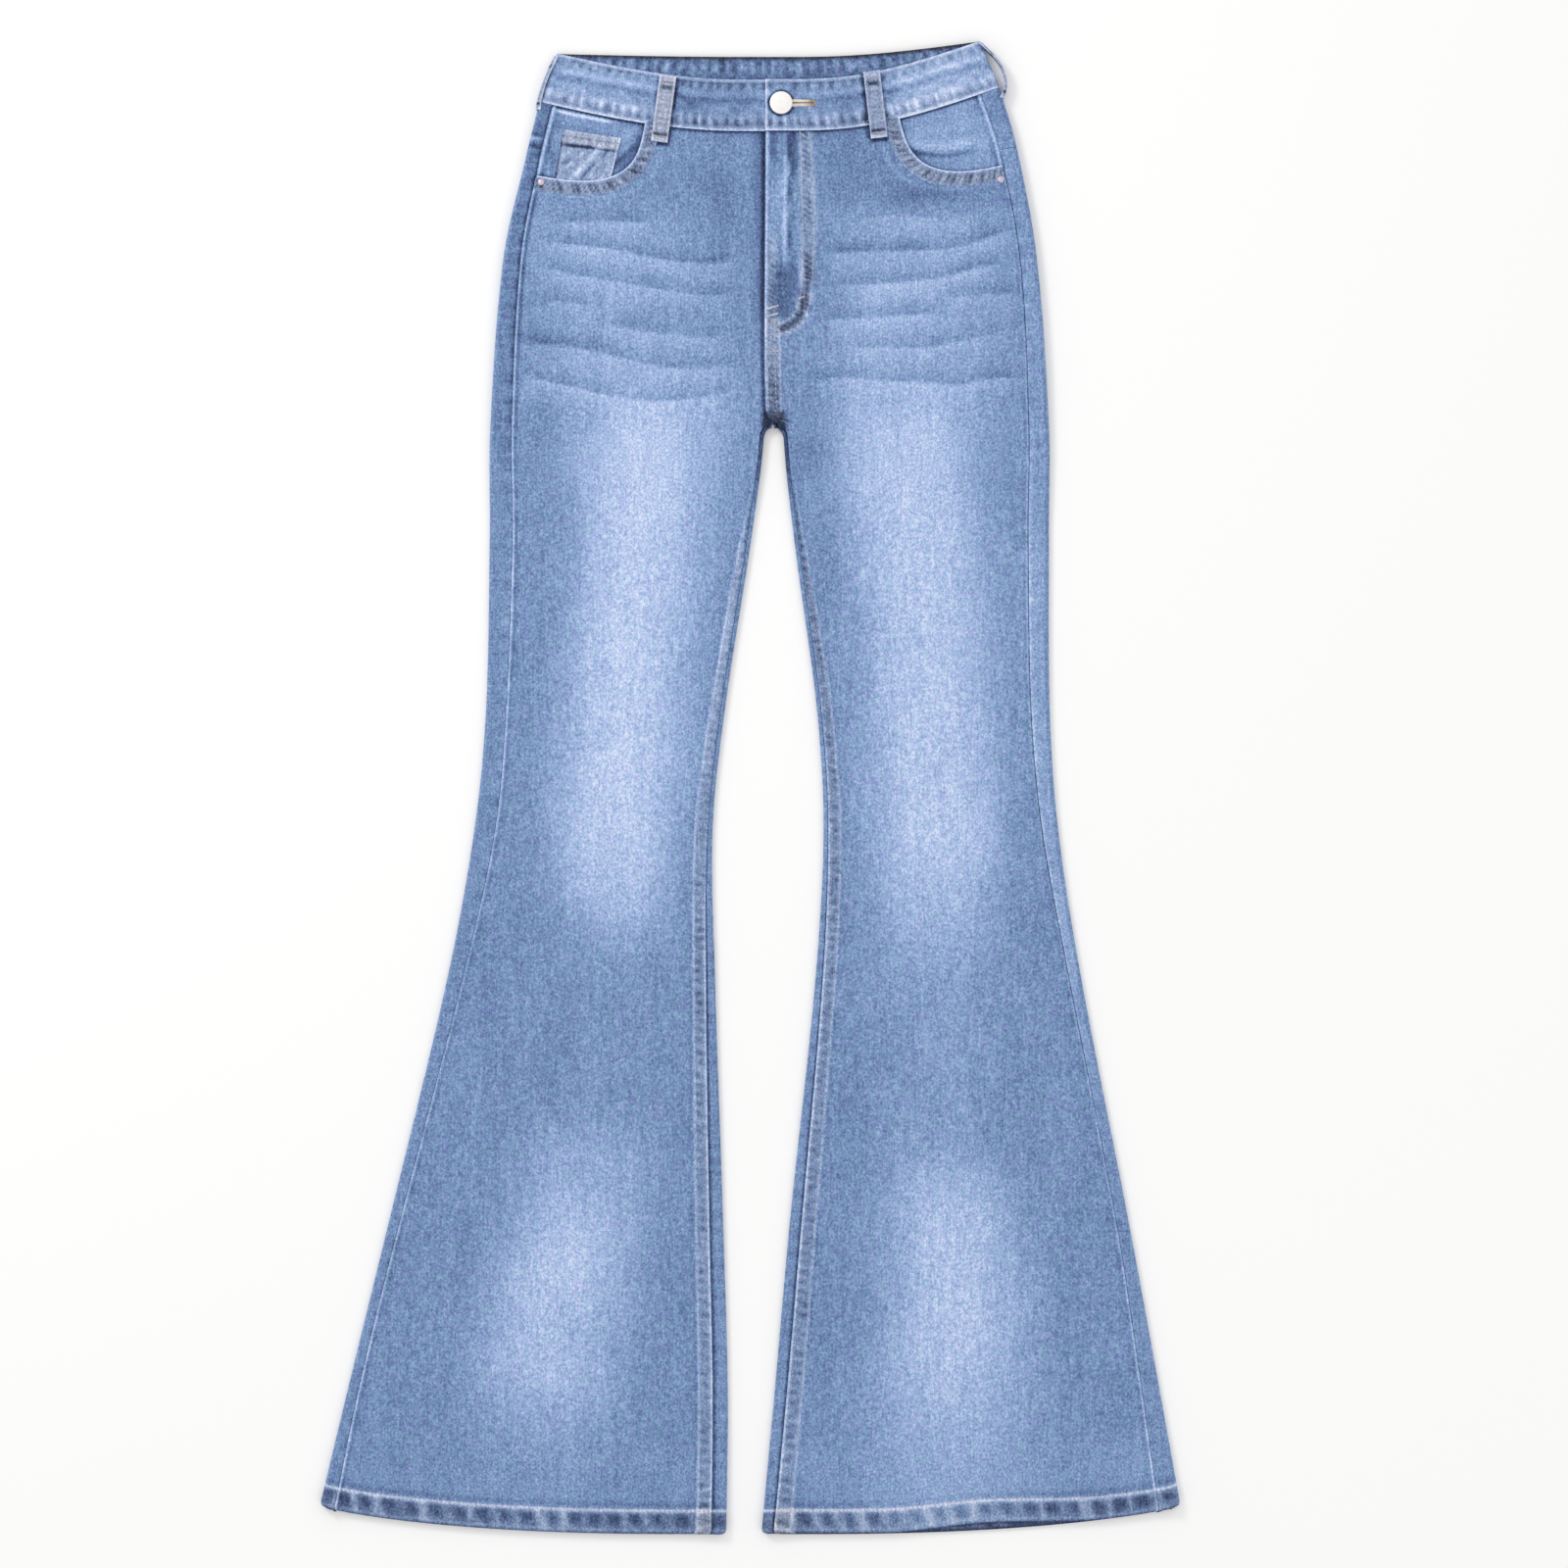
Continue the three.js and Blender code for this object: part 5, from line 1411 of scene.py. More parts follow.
for leg in LEGS:
    rows = np.linspace(leg["sections"][0][0] - GAP / 2, FACING["bottom"], 80)
    section = section_at(leg, rows)
    start = section["outer"] + leg["sign"] * (section["side_turn"] + GAP / 2)
    steps = np.concatenate([[0, 0.5, 1.1, 1.8, 2.6, 3.6, 5], np.linspace(7, FACING["across"] - 7, 66)])
    x = start[:, None] + leg["sign"] * steps
    y = np.broadcast_to(rows[:, None], x.shape)
    px, py, pz = face_point(leg, y, x)
    up = np.exp(-((steps / FACING_RIM) ** 2))
    puckers = ripples(y[:, :1], 20, 111)
    roll = np.exp(-(((steps - 1.6) / 1.1) ** 2))
    pz = pz - (DENIM + GAP) * (1 - up) - 0.25 * up + 0.3 * roll
    in_mouth = -mouth_depth(leg, px, py)
    # Painted shade at the seam's very edge and in the dip beside the rolled edge.
    wash = 0.42 + (0.5 if leg is RIGHT else 0.34) * roll - 0.2 * np.exp(-((steps / 0.55) ** 2)) + 0.06 * puckers
    wash = wash - 0.3 * np.exp(-(((steps - 4.2) / 1.1) ** 2))
    # Painted shade under the edge of the mouth and, below, under the waistband.
    wash = wash - MOUTH_SHADE * np.exp(-np.maximum(in_mouth, 0) / 4.5)
    wash = wash - 0.25 * np.exp(-((np.maximum(in_mouth, 0) / 1.5) ** 2))
    below_band = np.maximum(rows[0] - y, 0)
    wash = wash - 0.55 * np.exp(-((below_band / 1.7) ** 2)) - 0.12 * np.exp(-below_band / 5)
    if leg is LEFT:
        # The fold: painted shade in its crease and a painted highlight on its ridge.
        fold = near_line(px, py, LEFT_FOLD, 2.4)
        ridge = near_line(px, py - 6, LEFT_FOLD, 4)
        pz = pz - 0.5 * fold + 0.35 * ridge
        wash = wash - 0.4 * fold * (1.2 - 0.4 * smooth(120, 150, px)) + 0.2 * ridge + 0.1
    else:
        pale_top = smooth(-152, -140, px) * (1 - smooth(-112, -98, px))
        wash = wash + 1.0 * pale_top * np.exp(-(((below_band - 3.2) / 1.5) ** 2))
        wash = wash + scuffs_at(px, py, FACING_SCUFFS)
    pz = np.minimum(pz, np.where(in_mouth < 0, face_point(leg, y, x)[2] - DENIM - GAP, 99))
    piece = shell(f"pocket_facing_cloth_{leg['name']}", np.stack([px, py, pz], -1), DENIM * 0.8, wash)
    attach(piece, "root")
    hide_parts(f"pocket_facing_{leg['name']}")
    name = f"back_yoke_{leg['name']}"

# Coin pocket
# A small patch sewn on the right facing, with a double-stitched hem at its top. Its folded top
# corner stands a little proud, and the wash has scuffed it with pale diagonal creases.

COIN_TOP = ((-141, 496.5), (-97.3, 489.9))
COIN_FOOT = ((-148, 456), (-107, 452))
COIN_THICK = 1.0
COIN_HEM = 0.27
COIN_SCUFFS = (
    ((-139, 468), (-126, 478), 1.5, 0.24),
    ((-131, 463), (-113, 483), 1.9, 0.30),
    ((-121, 461), (-111, 474), 1.3, 0.22),
    ((-142, 476), (-135, 481), 1.2, 0.22),
    ((-112, 459), (-106, 471), 1.2, 0.16),
    ((-136, 458), (-128, 466), 1.2, 0.18),
    ((-137, 484), (-120, 483), 1.6, -0.22),
    ((-141, 471), (-129, 474), 1.3, -0.2),
    ((-127, 460), (-118, 470), 1.2, -0.24),
    ((-117, 464), (-108, 480), 1.2, -0.2),
    ((-140, 457), (-108, 456), 2.2, -0.22),
)


v, u = np.meshgrid(np.linspace(0, 1, 60), np.linspace(0, 1, 64), indexing="ij")
top_x = COIN_TOP[0][0] + (COIN_TOP[1][0] - COIN_TOP[0][0]) * u
top_y = COIN_TOP[0][1] + (COIN_TOP[1][1] - COIN_TOP[0][1]) * u
foot_x = COIN_FOOT[0][0] + (COIN_FOOT[1][0] - COIN_FOOT[0][0]) * u
foot_y = COIN_FOOT[0][1] + (COIN_FOOT[1][1] - COIN_FOOT[0][1]) * u
px, py = top_x + (foot_x - top_x) * v, top_y + (foot_y - top_y) * v
pz = face_above(RIGHT, px, py) + COIN_THICK - DENIM
left_rim, right_rim = 44 * u, 44 * (1 - u)
top_rim = 41 * v
seam = np.exp(-(((top_rim - 41 * COIN_HEM) / 1.1) ** 2))
puckers = ripples(px, 6, 121) * np.exp(-(((v - 0.13) / 0.12) ** 2))
scuffs = scuffs_at(px, py, COIN_SCUFFS)
on_hem = np.exp(-(((v - 0.13) / 0.12) ** 4))
pz = pz + 0.5 * scuffs - 0.25 * seam + 0.1 * puckers
pz = pz - 0.7 * np.exp(-left_rim / 0.8) + 0.25 * np.exp(-top_rim / 1.0)
rows = sum(np.exp(-(((v - row) / 0.022) ** 2)) for row in (0.075, 0.19))
wash = 0.46 + 1.5 * scuffs - 0.5 * seam + 0.26 * puckers + 0.3 * rows
wash = wash + 0.3 * np.exp(-(((top_rim - 1) / 0.8) ** 2)) + 0.5 * np.exp(-(((right_rim - 0.9) / 0.9) ** 2))
wash = wash - 0.55 * np.exp(-((left_rim / 1.5) ** 2)) + 0.2 * np.exp(-(((left_rim - 3) / 0.9) ** 2))
wash = wash + 0.12 * on_hem - 0.2 * np.exp(-(((top_rim - 4.5) / 0.8) ** 2))
in_mouth = mouth_depth(RIGHT, px, py) < 1
keep = in_mouth[:-1, :-1] & in_mouth[1:, 1:]
piece_grey = 0.2 + 0.25 * on_hem
coin = shell("coin_pocket_patch", np.stack([px, py, pz], -1), COIN_THICK, wash, keep=keep, grey=piece_grey)
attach(coin, "root")
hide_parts("coin_pocket")
surface = surface_of(coin)


def coin_place(u, v):
    """A place on the coin pocket, as shares of its width and height."""
    top = np.array(COIN_TOP[0]) + (np.array(COIN_TOP[1]) - COIN_TOP[0]) * u
    foot = np.array(COIN_FOOT[0]) + (np.array(COIN_FOOT[1]) - COIN_FOOT[0]) * u
    return top + (foot - top) * v


lines = [stitch_line(surface, [coin_place(0.05, v), coin_place(0.95, v)]) for v in (0.07, 0.19)]
lines += [stitch_line(surface, [coin_place(u, 0.06), coin_place(u, 0.95)]) for u in (0.045, 0.955)]
stitches("coin_pocket_stitches", lines, seed=36)

# Fly zip
# A metal zip on woven tape behind the left front's edge, closed, with its slider at the top.
# The fly covers it.

ZIP = {"x": 16, "width": 28, "bottom": 344, "top": 492, "thick": 1.2}
ZIP_BACK = SEAT_LIFT + DENIM + GAP
CHAIN = 5.4
TOOTH = (2.0, 0.75, 1.1)
TOOTH_PITCH = 1.25
zip_material, zip_shader = new_material("zip_tape", 0.85)
zip_space = node_of(zip_material, "ShaderNodeTexCoord").outputs["Object"]
weave = noise_of(zip_material, zip_space, (2400, 900, 500), 1)
weave_ramp = zip_material.node_tree.nodes.new("ShaderNodeValToRGB")
weave_ramp.color_ramp.elements[0].color = linear((66, 78, 102))
weave_ramp.color_ramp.elements[1].color = linear((98, 112, 138))
zip_material.node_tree.links.new(weave, weave_ramp.inputs["Fac"])
zip_material.node_tree.links.new(weave_ramp.outputs["Color"], zip_shader.inputs["Base Color"])
for name, side in (("right", -1), ("left", 1)):
    across = np.linspace(0, 1, 14)
    x = ZIP["x"] + side * (CHAIN / 2 - 0.8 + across * (ZIP["width"] / 2 - CHAIN / 2 + 0.8))
    y = np.linspace(ZIP["top"], ZIP["bottom"], 90)
    x, y = np.meshgrid(x, y)
    z = ZIP_BACK + 0.75 + 0.18 * np.exp(-((across / 0.12) ** 2)) + 0.03 * np.sin(2 * y)
    tape = shell(f"zip_tape_{name}", np.stack([x, y, z], -1), 0.5, 0, material=zip_material)
    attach(tape, "root")
    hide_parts("zip")
tooth_material, tooth_shader = new_material("zip_brass", 0.35)
tooth_shader.inputs["Metallic"].default_value = 0.9
tooth_space = node_of(tooth_material, "ShaderNodeTexCoord").outputs["Object"]
tarnish = noise_of(tooth_material, tooth_space, (700, 700, 700), 2)
tooth_ramp = tooth_material.node_tree.nodes.new("ShaderNodeValToRGB")
tooth_ramp.color_ramp.elements[0].color = linear((148, 118, 74))
tooth_ramp.color_ramp.elements[1].color = linear((196, 168, 116))
tooth_material.node_tree.links.new(tarnish, tooth_ramp.inputs["Fac"])
tooth_material.node_tree.links.new(tooth_ramp.outputs["Color"], tooth_shader.inputs["Base Color"])
bpy.ops.mesh.primitive_cube_add(size=MM, location=(0, 0, 0))
teeth = bpy.context.object
teeth.name = "zip_teeth"
bpy.ops.object.mode_set(mode="EDIT")
bpy.ops.mesh.select_all(action="SELECT")
bpy.ops.transform.resize(value=(TOOTH[0] + 1.2, TOOTH[1], TOOTH[2]))
bpy.ops.mesh.bevel(offset=0.18 * MM, segments=2, affect="EDGES")
bpy.ops.transform.translate(
    value=((ZIP["x"] - 0.75) * MM, (ZIP["bottom"] + 6) * MM, (ZIP_BACK + 0.6) * MM)
)
bpy.ops.object.mode_set(mode="OBJECT")
pair = teeth.modifiers.new("other_side", "ARRAY")
pair.use_relative_offset = False
pair.use_constant_offset = True
pair.constant_offset_displace = (1.5 * MM, TOOTH_PITCH / 2 * MM, 0)
chain = teeth.modifiers.new("chain", "ARRAY")
chain.count = int((ZIP["top"] - ZIP["bottom"] - 16) / TOOTH_PITCH)
chain.use_relative_offset = False
chain.use_constant_offset = True
chain.constant_offset_displace = (0, TOOTH_PITCH * MM, 0)
for modifier in ("other_side", "chain"):
    bpy.ops.object.modifier_apply(modifier=modifier)
bpy.ops.mesh.primitive_cube_add(size=MM, location=(0, 0, 0))
slider = bpy.context.object
slider.name = "zip_slider"
bpy.ops.object.mode_set(mode="EDIT")
bpy.ops.mesh.select_all(action="SELECT")
bpy.ops.transform.resize(value=(6.5, 9, 1.15))
bpy.ops.mesh.bevel(offset=0.5 * MM, segments=3, affect="EDGES")
bpy.ops.transform.translate(
    value=(ZIP["x"] * MM, (ZIP["top"] - 8) * MM, (ZIP_BACK + 0.62) * MM)
)
bpy.ops.object.mode_set(mode="OBJECT")
for part in (teeth, slider):
    part.data.materials.append(tooth_material)
    shade_cloth(part, 35)
    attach(part, "root")

# Waistband
# One strip of denim folded over a stiffener, on edge round the waist. Its left end lies over the
# right end at the fly. Its sewn edges pucker it with short upright folds, a groove runs along it
# where the lining ends, and its inner side shows behind the front's top edge.

BAND = 2
BAND_STACK = 4.6
BAND_EDGE_RISE = 0.8
WAIST_LAP = 14
WAIST_TOP = {"front": 533.8, "back": 551.3}
BUTTON = {"x": 23.3, "y": 515.8, "radius": 8.5, "shank": 2.5, "thick": 3}
SLIT = {"end": 48.5, "width": 1, "eyelet": 2.9}
BAND_DENIM = denim("band_denim", 0.9)
BAND_TONES = ((-160, 0.46), (-125, 0.54), (-80, 0.52), (-52, 0.27), (10, 0.34), (60, 0.36))
BAND_TONES += ((90, 0.36), (118, 0.66), (150, 0.70), (176, 0.56))
# How strong the streaks along the band are, and which streaks: share of the height, half, wash.
BAND_STREAKING = ((-160, 1.2), (-75, 1.3), (-55, 0.7), (70, 0.7), (95, 1.2), (176, 1.4))
BAND_STREAKS = ((0.09, 0.05, -0.2), (0.25, 0.07, 0.28), (0.56, 0.055, -0.2), (0.71, 0.05, 0.26), (0.85, 0.05, -0.1))
GROOVE = {"share": 0.60, "depth": 0.3, "width": 0.035}


def band_edge(leg, share):
    outer = leg["sections"][0][1]
    return outer + (leg["waist_top"][0] - outer) * share


def band_face(reach):
    rise = BAND_EDGE_RISE * np.exp(-np.maximum(reach, FOLD_REACH) / EDGE_SPREAD)
    return SEAT_LIFT + BAND_STACK + rise


def band_point(leg, x, share, half):
    edge = band_edge(leg, share)
    seam = leg["sections"][0]
    drop = np.sin(np.clip(1.15 * (x - edge) / (CENTRE_X - edge), 0, 1) * math.pi / 2)
    foot = seam[0] + GAP / 2 - seam[3 if half == "front" else 4] * drop
    top = leg["waist_top"][1] - (leg["waist_top"][1] - WAIST_TOP[half]) * drop
    lap = 0.0
    if leg is LEFT:
        lap = 1 - smooth(SLIT["end"] + 3.5, SLIT["end"] + 35, x)
    z = band_face(np.abs(x - edge)) + (BAND + GAP) * lap if half == "front" else SEAT_LIFT + 0 * x
    return np.stack([x, foot + (top - foot) * share, z], axis=-1)


shares = np.concatenate([[0, 0.012, 0.03, 0.055], np.linspace(0.085, 0.915, 34), [0.945, 0.97, 0.988, 1]])
half_height = (band_face(FOLD_REACH) - SEAT_LIFT) / 2
left_end = column(FRONT_SEAM, SEAM_COLUMNS, "x", FRONT_SEAM[0][0])
strips = []
halves = []


def band_run(leg, start, end, count, half):
    """Columns of the band between two places, each given for every share of its height."""
    for t in np.linspace(0, 1, count):
        x = start + (end - start) * t
        strips.append(band_point(leg, x, shares, half))
        halves.append(half)


def band_fold(leg, angles):
    for angle in angles:
        x = band_edge(leg, shares) + leg["sign"] * FOLD_REACH * (1 - math.sin(angle))
        half = "back" if angle > math.pi / 2 else "front"
        column_points = band_point(leg, x, shares, half)
        column_points[:, 2] = SEAT_LIFT + half_height * (1 + math.cos(angle))
        strips.append(column_points)
        halves.append("front" if angle < math.pi * 0.6 else "back")


turns = np.linspace(0, math.pi, 9)
left_fold = band_edge(LEFT, shares) - FOLD_REACH
right_fold = band_edge(RIGHT, shares) + FOLD_REACH
lap_end = np.full(len(shares), left_end)
band_run(LEFT, lap_end, lap_end + 3, 5, "front")
band_run(LEFT, lap_end + 3.9, left_fold - 1, 118, "front")
band_fold(LEFT, turns)
band_run(LEFT, left_fold - 2, lap_end * 0 + CENTRE_X, 60, "back")
band_run(RIGHT, lap_end * 0 + CENTRE_X - 2, right_fold + 2, 60, "back")
band_fold(RIGHT, turns[::-1])
band_run(RIGHT, right_fold + 1, lap_end + WAIST_LAP, 118, "front")
points = np.stack(strips, axis=1)
front_half = np.array([half == "front" for half in halves])[None, :]
share = shares[:, None]
px, py = points[..., 0], points[..., 1]
path = np.cumsum(np.linalg.norm(np.diff(points[20], axis=0, prepend=points[20][:1]), axis=1))[None, :]
path = path + 0 * share
foot_folds = ripples(path + 5 * share, 8.5, 131) * np.exp(-(((share - 0.24) / 0.15) ** 2))
top_folds = ripples(path - 6 * share, 8, 132) * np.exp(-(((share - 0.86) / 0.08) ** 2))
streaks = ripples(path, 36, 133) * np.exp(-(((share - 0.42) / 0.09) ** 2))
streaks = streaks + ripples(path, 31, 134) * np.exp(-(((share - 0.72) / 0.06) ** 2))
groove = np.exp(-(((share - GROOVE["share"]) / GROOVE["width"]) ** 2)) * (0.8 + 0.2 * ripples(path, 25, 135))
tops = np.exp(-(((1 - share) / 0.045) ** 2))
feet = np.exp(-((share / 0.05) ** 2))
lift = 0.22 * foot_folds + 0.1 * top_folds + 0.12 * streaks - GROOVE["depth"] * groove
ends = np.exp(-(((px - left_end) / 1.6) ** 2)) * (path < 60)
lift = lift - 0.45 * (tops + feet) + 0.2 * ends
normals = grid_normals(points)
points = points + normals * lift[..., None]
tones = np.interp(px, *zip(*BAND_TONES))
streaking = np.interp(px, *zip(*BAND_STREAKING))
wash = np.where(front_half, tones, 0.34)
for middle, half, strength in BAND_STREAKS:
    sway = middle + 0.02 * ripples(path, 55, 138)
    uneven = 0.75 + 0.35 * ripples(path, 27, 139 + int(100 * middle))
    wash = wash + streaking * strength * uneven * np.exp(-(((share - sway) / half) ** 2))
cells = np.exp(-(((share - 0.18) / 0.12) ** 2))
bars = ripples(path + 4 * share, 7.5, 137)
wash = wash + cells * (0.44 * smooth(0.3, 0.8, bars) - 0.26 * smooth(0, -0.6, bars))
blotches = ripples(path + 12 * share, 19, 151) * ripples(37 * share + 0.12 * path, 11, 152)
blotches = blotches + 0.8 * ripples(path - 5 * share, 8, 153) * ripples(37 * share - 0.05 * path, 6, 154)
wash = wash + 0.17 * streaking * blotches
wash = wash + 0.26 * top_folds + 0.12 * streaks - 0.1 * groove
wash = wash + np.where(front_half, 0.5, -0.4) * tops * (0.85 + 0.15 * ripples(path, 12, 140))
wash = wash + 0.75 * feet + 0.75 * ends
# Painted shade under the band's top edge, and painted shadows of the front belt loops.
wash = wash - 0.2 * np.exp(-(((share - 0.915) / 0.02) ** 2)) - 0.65 * loop_shade(px, py) * front_half
# A painted shadow ring round the button on the band, strongest on one side.
from_button = np.hypot(px - BUTTON["x"], py - BUTTON["y"])
button_shadow_side = 0.75 + 0.25 * np.cos(np.arctan2(py - BUTTON["y"], px - BUTTON["x"]) + 2.4)
wash = wash - 0.9 * button_shadow_side * np.exp(-(((from_button - 9.2) / 1.0) ** 2)) * front_half
grey = 0.04 + 0.12 * np.abs(top_folds) + 0.12 * cells + 0.05 * tops
grey = np.where(front_half, grey, 0.05 + 0.6 * tops)
inner_folds = ripples(path, 9, 136) * np.exp(-(((share - 0.8) / 0.12) ** 2))
inner_wash = 0.18 + 0.22 * blotches + 0.34 * inner_folds + 0.12 * np.exp(-(((share - 0.8) / 0.05) ** 2)) - 0.5 * tops
grid_y, grid_x = (py[:-1, :-1] + py[1:, 1:]) / 2, (px[:-1, :-1] + px[1:, 1:]) / 2
on_lap = (path[:-1, :-1] < 60) & front_half[:, :-1]
in_slit = (np.abs(grid_y - BUTTON["y"]) < SLIT["width"] / 2) & (grid_x > BUTTON["x"])
in_slit &= grid_x < SLIT["end"]
in_eye = np.hypot(grid_x - BUTTON["x"], grid_y - BUTTON["y"]) < SLIT["eyelet"]
keep = ~(on_lap & (in_slit | in_eye))
band = shell(
    "waistband_strip",
    points,
    BAND,
    wash,
    keep=keep,
    material=BAND_DENIM,
    inner_wash=inner_wash,
    grey=grey,
)
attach(band, "root")
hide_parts("waistband")
BAND_ROWS = (0.075, 0.93)
lines = []
for row in BAND_ROWS + (0.90,):
    level = int(np.argmin(np.abs(shares - row)))
    line = points[level]
    if row == 0.90:
        level = int(np.argmin(np.abs(shares - 0.82)))
        inside = points - normals * (BAND + 0.02)
        back = ~front_half[0]
        line = resampled(inside[level][back], PITCH)
        inside_row = line, np.tile([0.0, 0.0, 1.0], (len(line), 1))
        continue
    both = resampled(np.concatenate([line, normals[level]], axis=1), PITCH)
    lines.append((both[:, :3] + 0.05 * both[:, 3:], both[:, 3:]))
stitches("waistband_stitches", lines, seed=37)
INSIDE_THREAD = thread_material("inside_thread", ((112, 130, 172), (92, 108, 150), (132, 148, 186)))
stitches("waistband_inside_stitches", [inside_row], INSIDE_THREAD, seed=40)

# Belt loops
# Narrow strips of denim with folded edges, tacked down at both ends with dense thread. Two lie on
# the front of the waistband, two wrap its sides and stand off them, and one is at the back.

SIDE_LOOPS = ((RIGHT, 511, 551.3, 1.5, 0.5), (LEFT, 520, 561.5, 7.6, 2.7))
BACK_LOOP = (503, 551)
TACKS = (0.075, 0.90)


def loop_wash(along, across, seed, base=0.5):
    """Wear and painted shade of a belt loop: pale folded edges and ends, and painted shade in a dent
    below its upper tack and in a lower one."""
    rim = 1 - np.abs(across)
    body = 1 - np.exp(-rim / 0.2)
    wash = base + 0.42 * np.exp(-((rim / 0.17) ** 2)) - 0.1 * np.exp(-(((rim - 0.42) / 0.12) ** 2))
    wash = wash + 0.16 * body * ripples(along * 50, 5, seed)
    wash = wash + 0.4 * body * ripples(along * 50 + 6 * across, 3, seed + 7) * ripples(7 * across, 3, seed + 8)
    # Painted shade in the two dents.
    wash = wash - 0.62 * np.exp(-(((along - 0.815) / 0.035) ** 2)) * smooth(0.1, 0.4, rim)
    wash = wash - 0.75 * np.exp(-(((along - 0.11) / 0.028) ** 2)) * smooth(0.0, 0.25, rim)
    return wash + 0.35 * np.exp(-((along / 0.05) ** 2)) + 0.2 * smooth(0.86, 0.97, along)


def loop_piece(name, points, wash, node, length, at=(0, 8), grey=0.4, **facing):
    piece = shell(name, points, LOOP["thick"], wash, material=BAND_DENIM, grey=grey, at=at, **facing)
    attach(piece, "root")
    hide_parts(node)
    return piece


for side, foot, top in FRONT_LOOPS:
    t, u = np.meshgrid(np.linspace(0, 1, 64), np.linspace(-1, 1, 19), indexing="ij")
    foot, top = np.array(foot), np.array(top)
    way = (top - foot) / np.linalg.norm(top - foot)
    turned = np.array([-way[1], way[0]])
    place = foot + (top - foot) * t[..., None] + turned * (u[..., None] * LOOP["width"] / 2)
    z = band_face(1e3) + GAP + LOOP["thick"] + LOOP["bow"] * np.sin(math.pi * t)
    z = z + 0.22 * np.exp(-(((np.abs(u) - 0.88) / 0.1) ** 2)) - 0.35 * np.exp(-(((1 - np.abs(u)) / 0.04) ** 2))
    z = z - 0.25 * sum(np.exp(-(((t - tack) / 0.03) ** 2)) for tack in TACKS)
    z = z + 0.1 * ripples(t * 50, 7, 141)
    wash = loop_wash(t, u, 142, 0.6) if side == "right" else loop_wash(t, u, 143, 0.48)
    loop = loop_piece(
        f"belt_loop_strip_{side}",
        np.concatenate([place, z[..., None]], axis=-1),
        wash,
        f"belt_loop_front_{side}",
        0.0505,
        grey=0.5 if side == "right" else 0.3,
    )
    surface = surface_of(loop)
    lines = []
    for u in (-0.62, 0.62):
        ends = [foot + (top - foot) * t + turned * u * LOOP["width"] / 2 for t in (0.12, 0.86)]
        lines.append(stitch_line(surface, ends))
    stitches(f"belt_loop_stitches_{side}", lines, seed=38)
    lines = []
    for tack in TACKS:
        ends = [foot + (top - foot) * tack + turned * u * LOOP["width"] / 2 for u in (-0.75, 0.75)]
        lines.append(stitch_line(surface, ends, 0.12, pitch=0.5))
    stitches(f"belt_loop_tacks_{side}", lines, length=1.6, width=0.5, across=True, seed=39)

for leg, foot, top, stand, spare in SIDE_LOOPS:
    clear = GAP + LOOP["thick"]
    radius = band_face(FOLD_REACH) / 2
    t, angle = np.meshgrid(np.linspace(0, 1, 60), np.linspace(math.pi / 2, -math.pi / 2, 25), indexing="ij")
    y = foot + (top - foot) * t
    share = (y - leg["sections"][0][0]) / (leg["waist_top"][1] - leg["sections"][0][0])
    below = section_at(leg, y[:, 0])["outer"][:, None]
    edge = np.where(share < 0, below, band_edge(leg, np.minimum(1, share)))
    bow = np.sin(math.pi * t)
    tip = edge - leg["sign"] * (clear + stand * bow)
    reach = FOLD_REACH + clear - spare * bow
    x = tip + leg["sign"] * reach * (1 - np.cos(angle))
    z = (radius + GAP + LOOP["thick"] / 2) * (1 + np.sin(angle))
    wash = loop_wash(t, angle / (math.pi / 2), 144)
    loop_piece(
        f"belt_loop_strip_side_{leg['name']}",
        np.stack([x, y, z], -1),
        wash,
        f"belt_loop_side_{leg['name']}",
        0.042,
        at=(0, 12),
        outward=(-leg["sign"], 0, 0),
    )

t, u = np.meshgrid(np.linspace(0, 1, 60), np.linspace(-1, 1, 19), indexing="ij")
x = CENTRE_X + u * LOOP["width"] / 2
y = BACK_LOOP[0] + (BACK_LOOP[1] - BACK_LOOP[0]) * t
z = 0.25 * np.exp(-(((1 - np.abs(u)) / 0.06) ** 2)) + 0.15 * np.exp(-(((np.abs(u) - 0.62) / 0.08) ** 2))
back_loop = loop_piece(
    "belt_loop_strip_back",
    np.stack([x, y, z], -1),
    loop_wash(t, u, 145),
    "belt_loop_back",
    0.048,
    outward=(0, 0, -1),
)
surface = surface_of(back_loop)
lines = []
for u in (-0.62, 0.62):
    ends = [(CENTRE_X + u * LOOP["width"] / 2, y) for y in (BACK_LOOP[0] + 5, BACK_LOOP[1] - 5)]
    lines.append(stitch_line(surface, ends, -0.05, side=-1))
stitches("belt_loop_stitches_back", lines, seed=40)

# Waist button and buttonhole
# A plain domed metal button on a shank, through a keyhole buttonhole whose edge is oversewn with
# golden thread. The metal is pale and faintly pink, polished, with a rolled rim; its near-white,
# mostly matt colour is a painted reflection of the white surroundings.

BUTTON_PROFILE = (
    (2.5, 0.3),
    (2.5, 2.6),
    (6.9, 2.6),
    (7.9, 2.75),
    (8.4, 3.15),
    (8.5, 3.6),
    (8.2, 4.1),
    (7.6, 4.35),
    (7.1, 4.4),
    (6.7, 4.5),
    (5.6, 4.95),
    (3.8, 5.35),
    (1.9, 5.55),
    (0.3, 5.6),
)


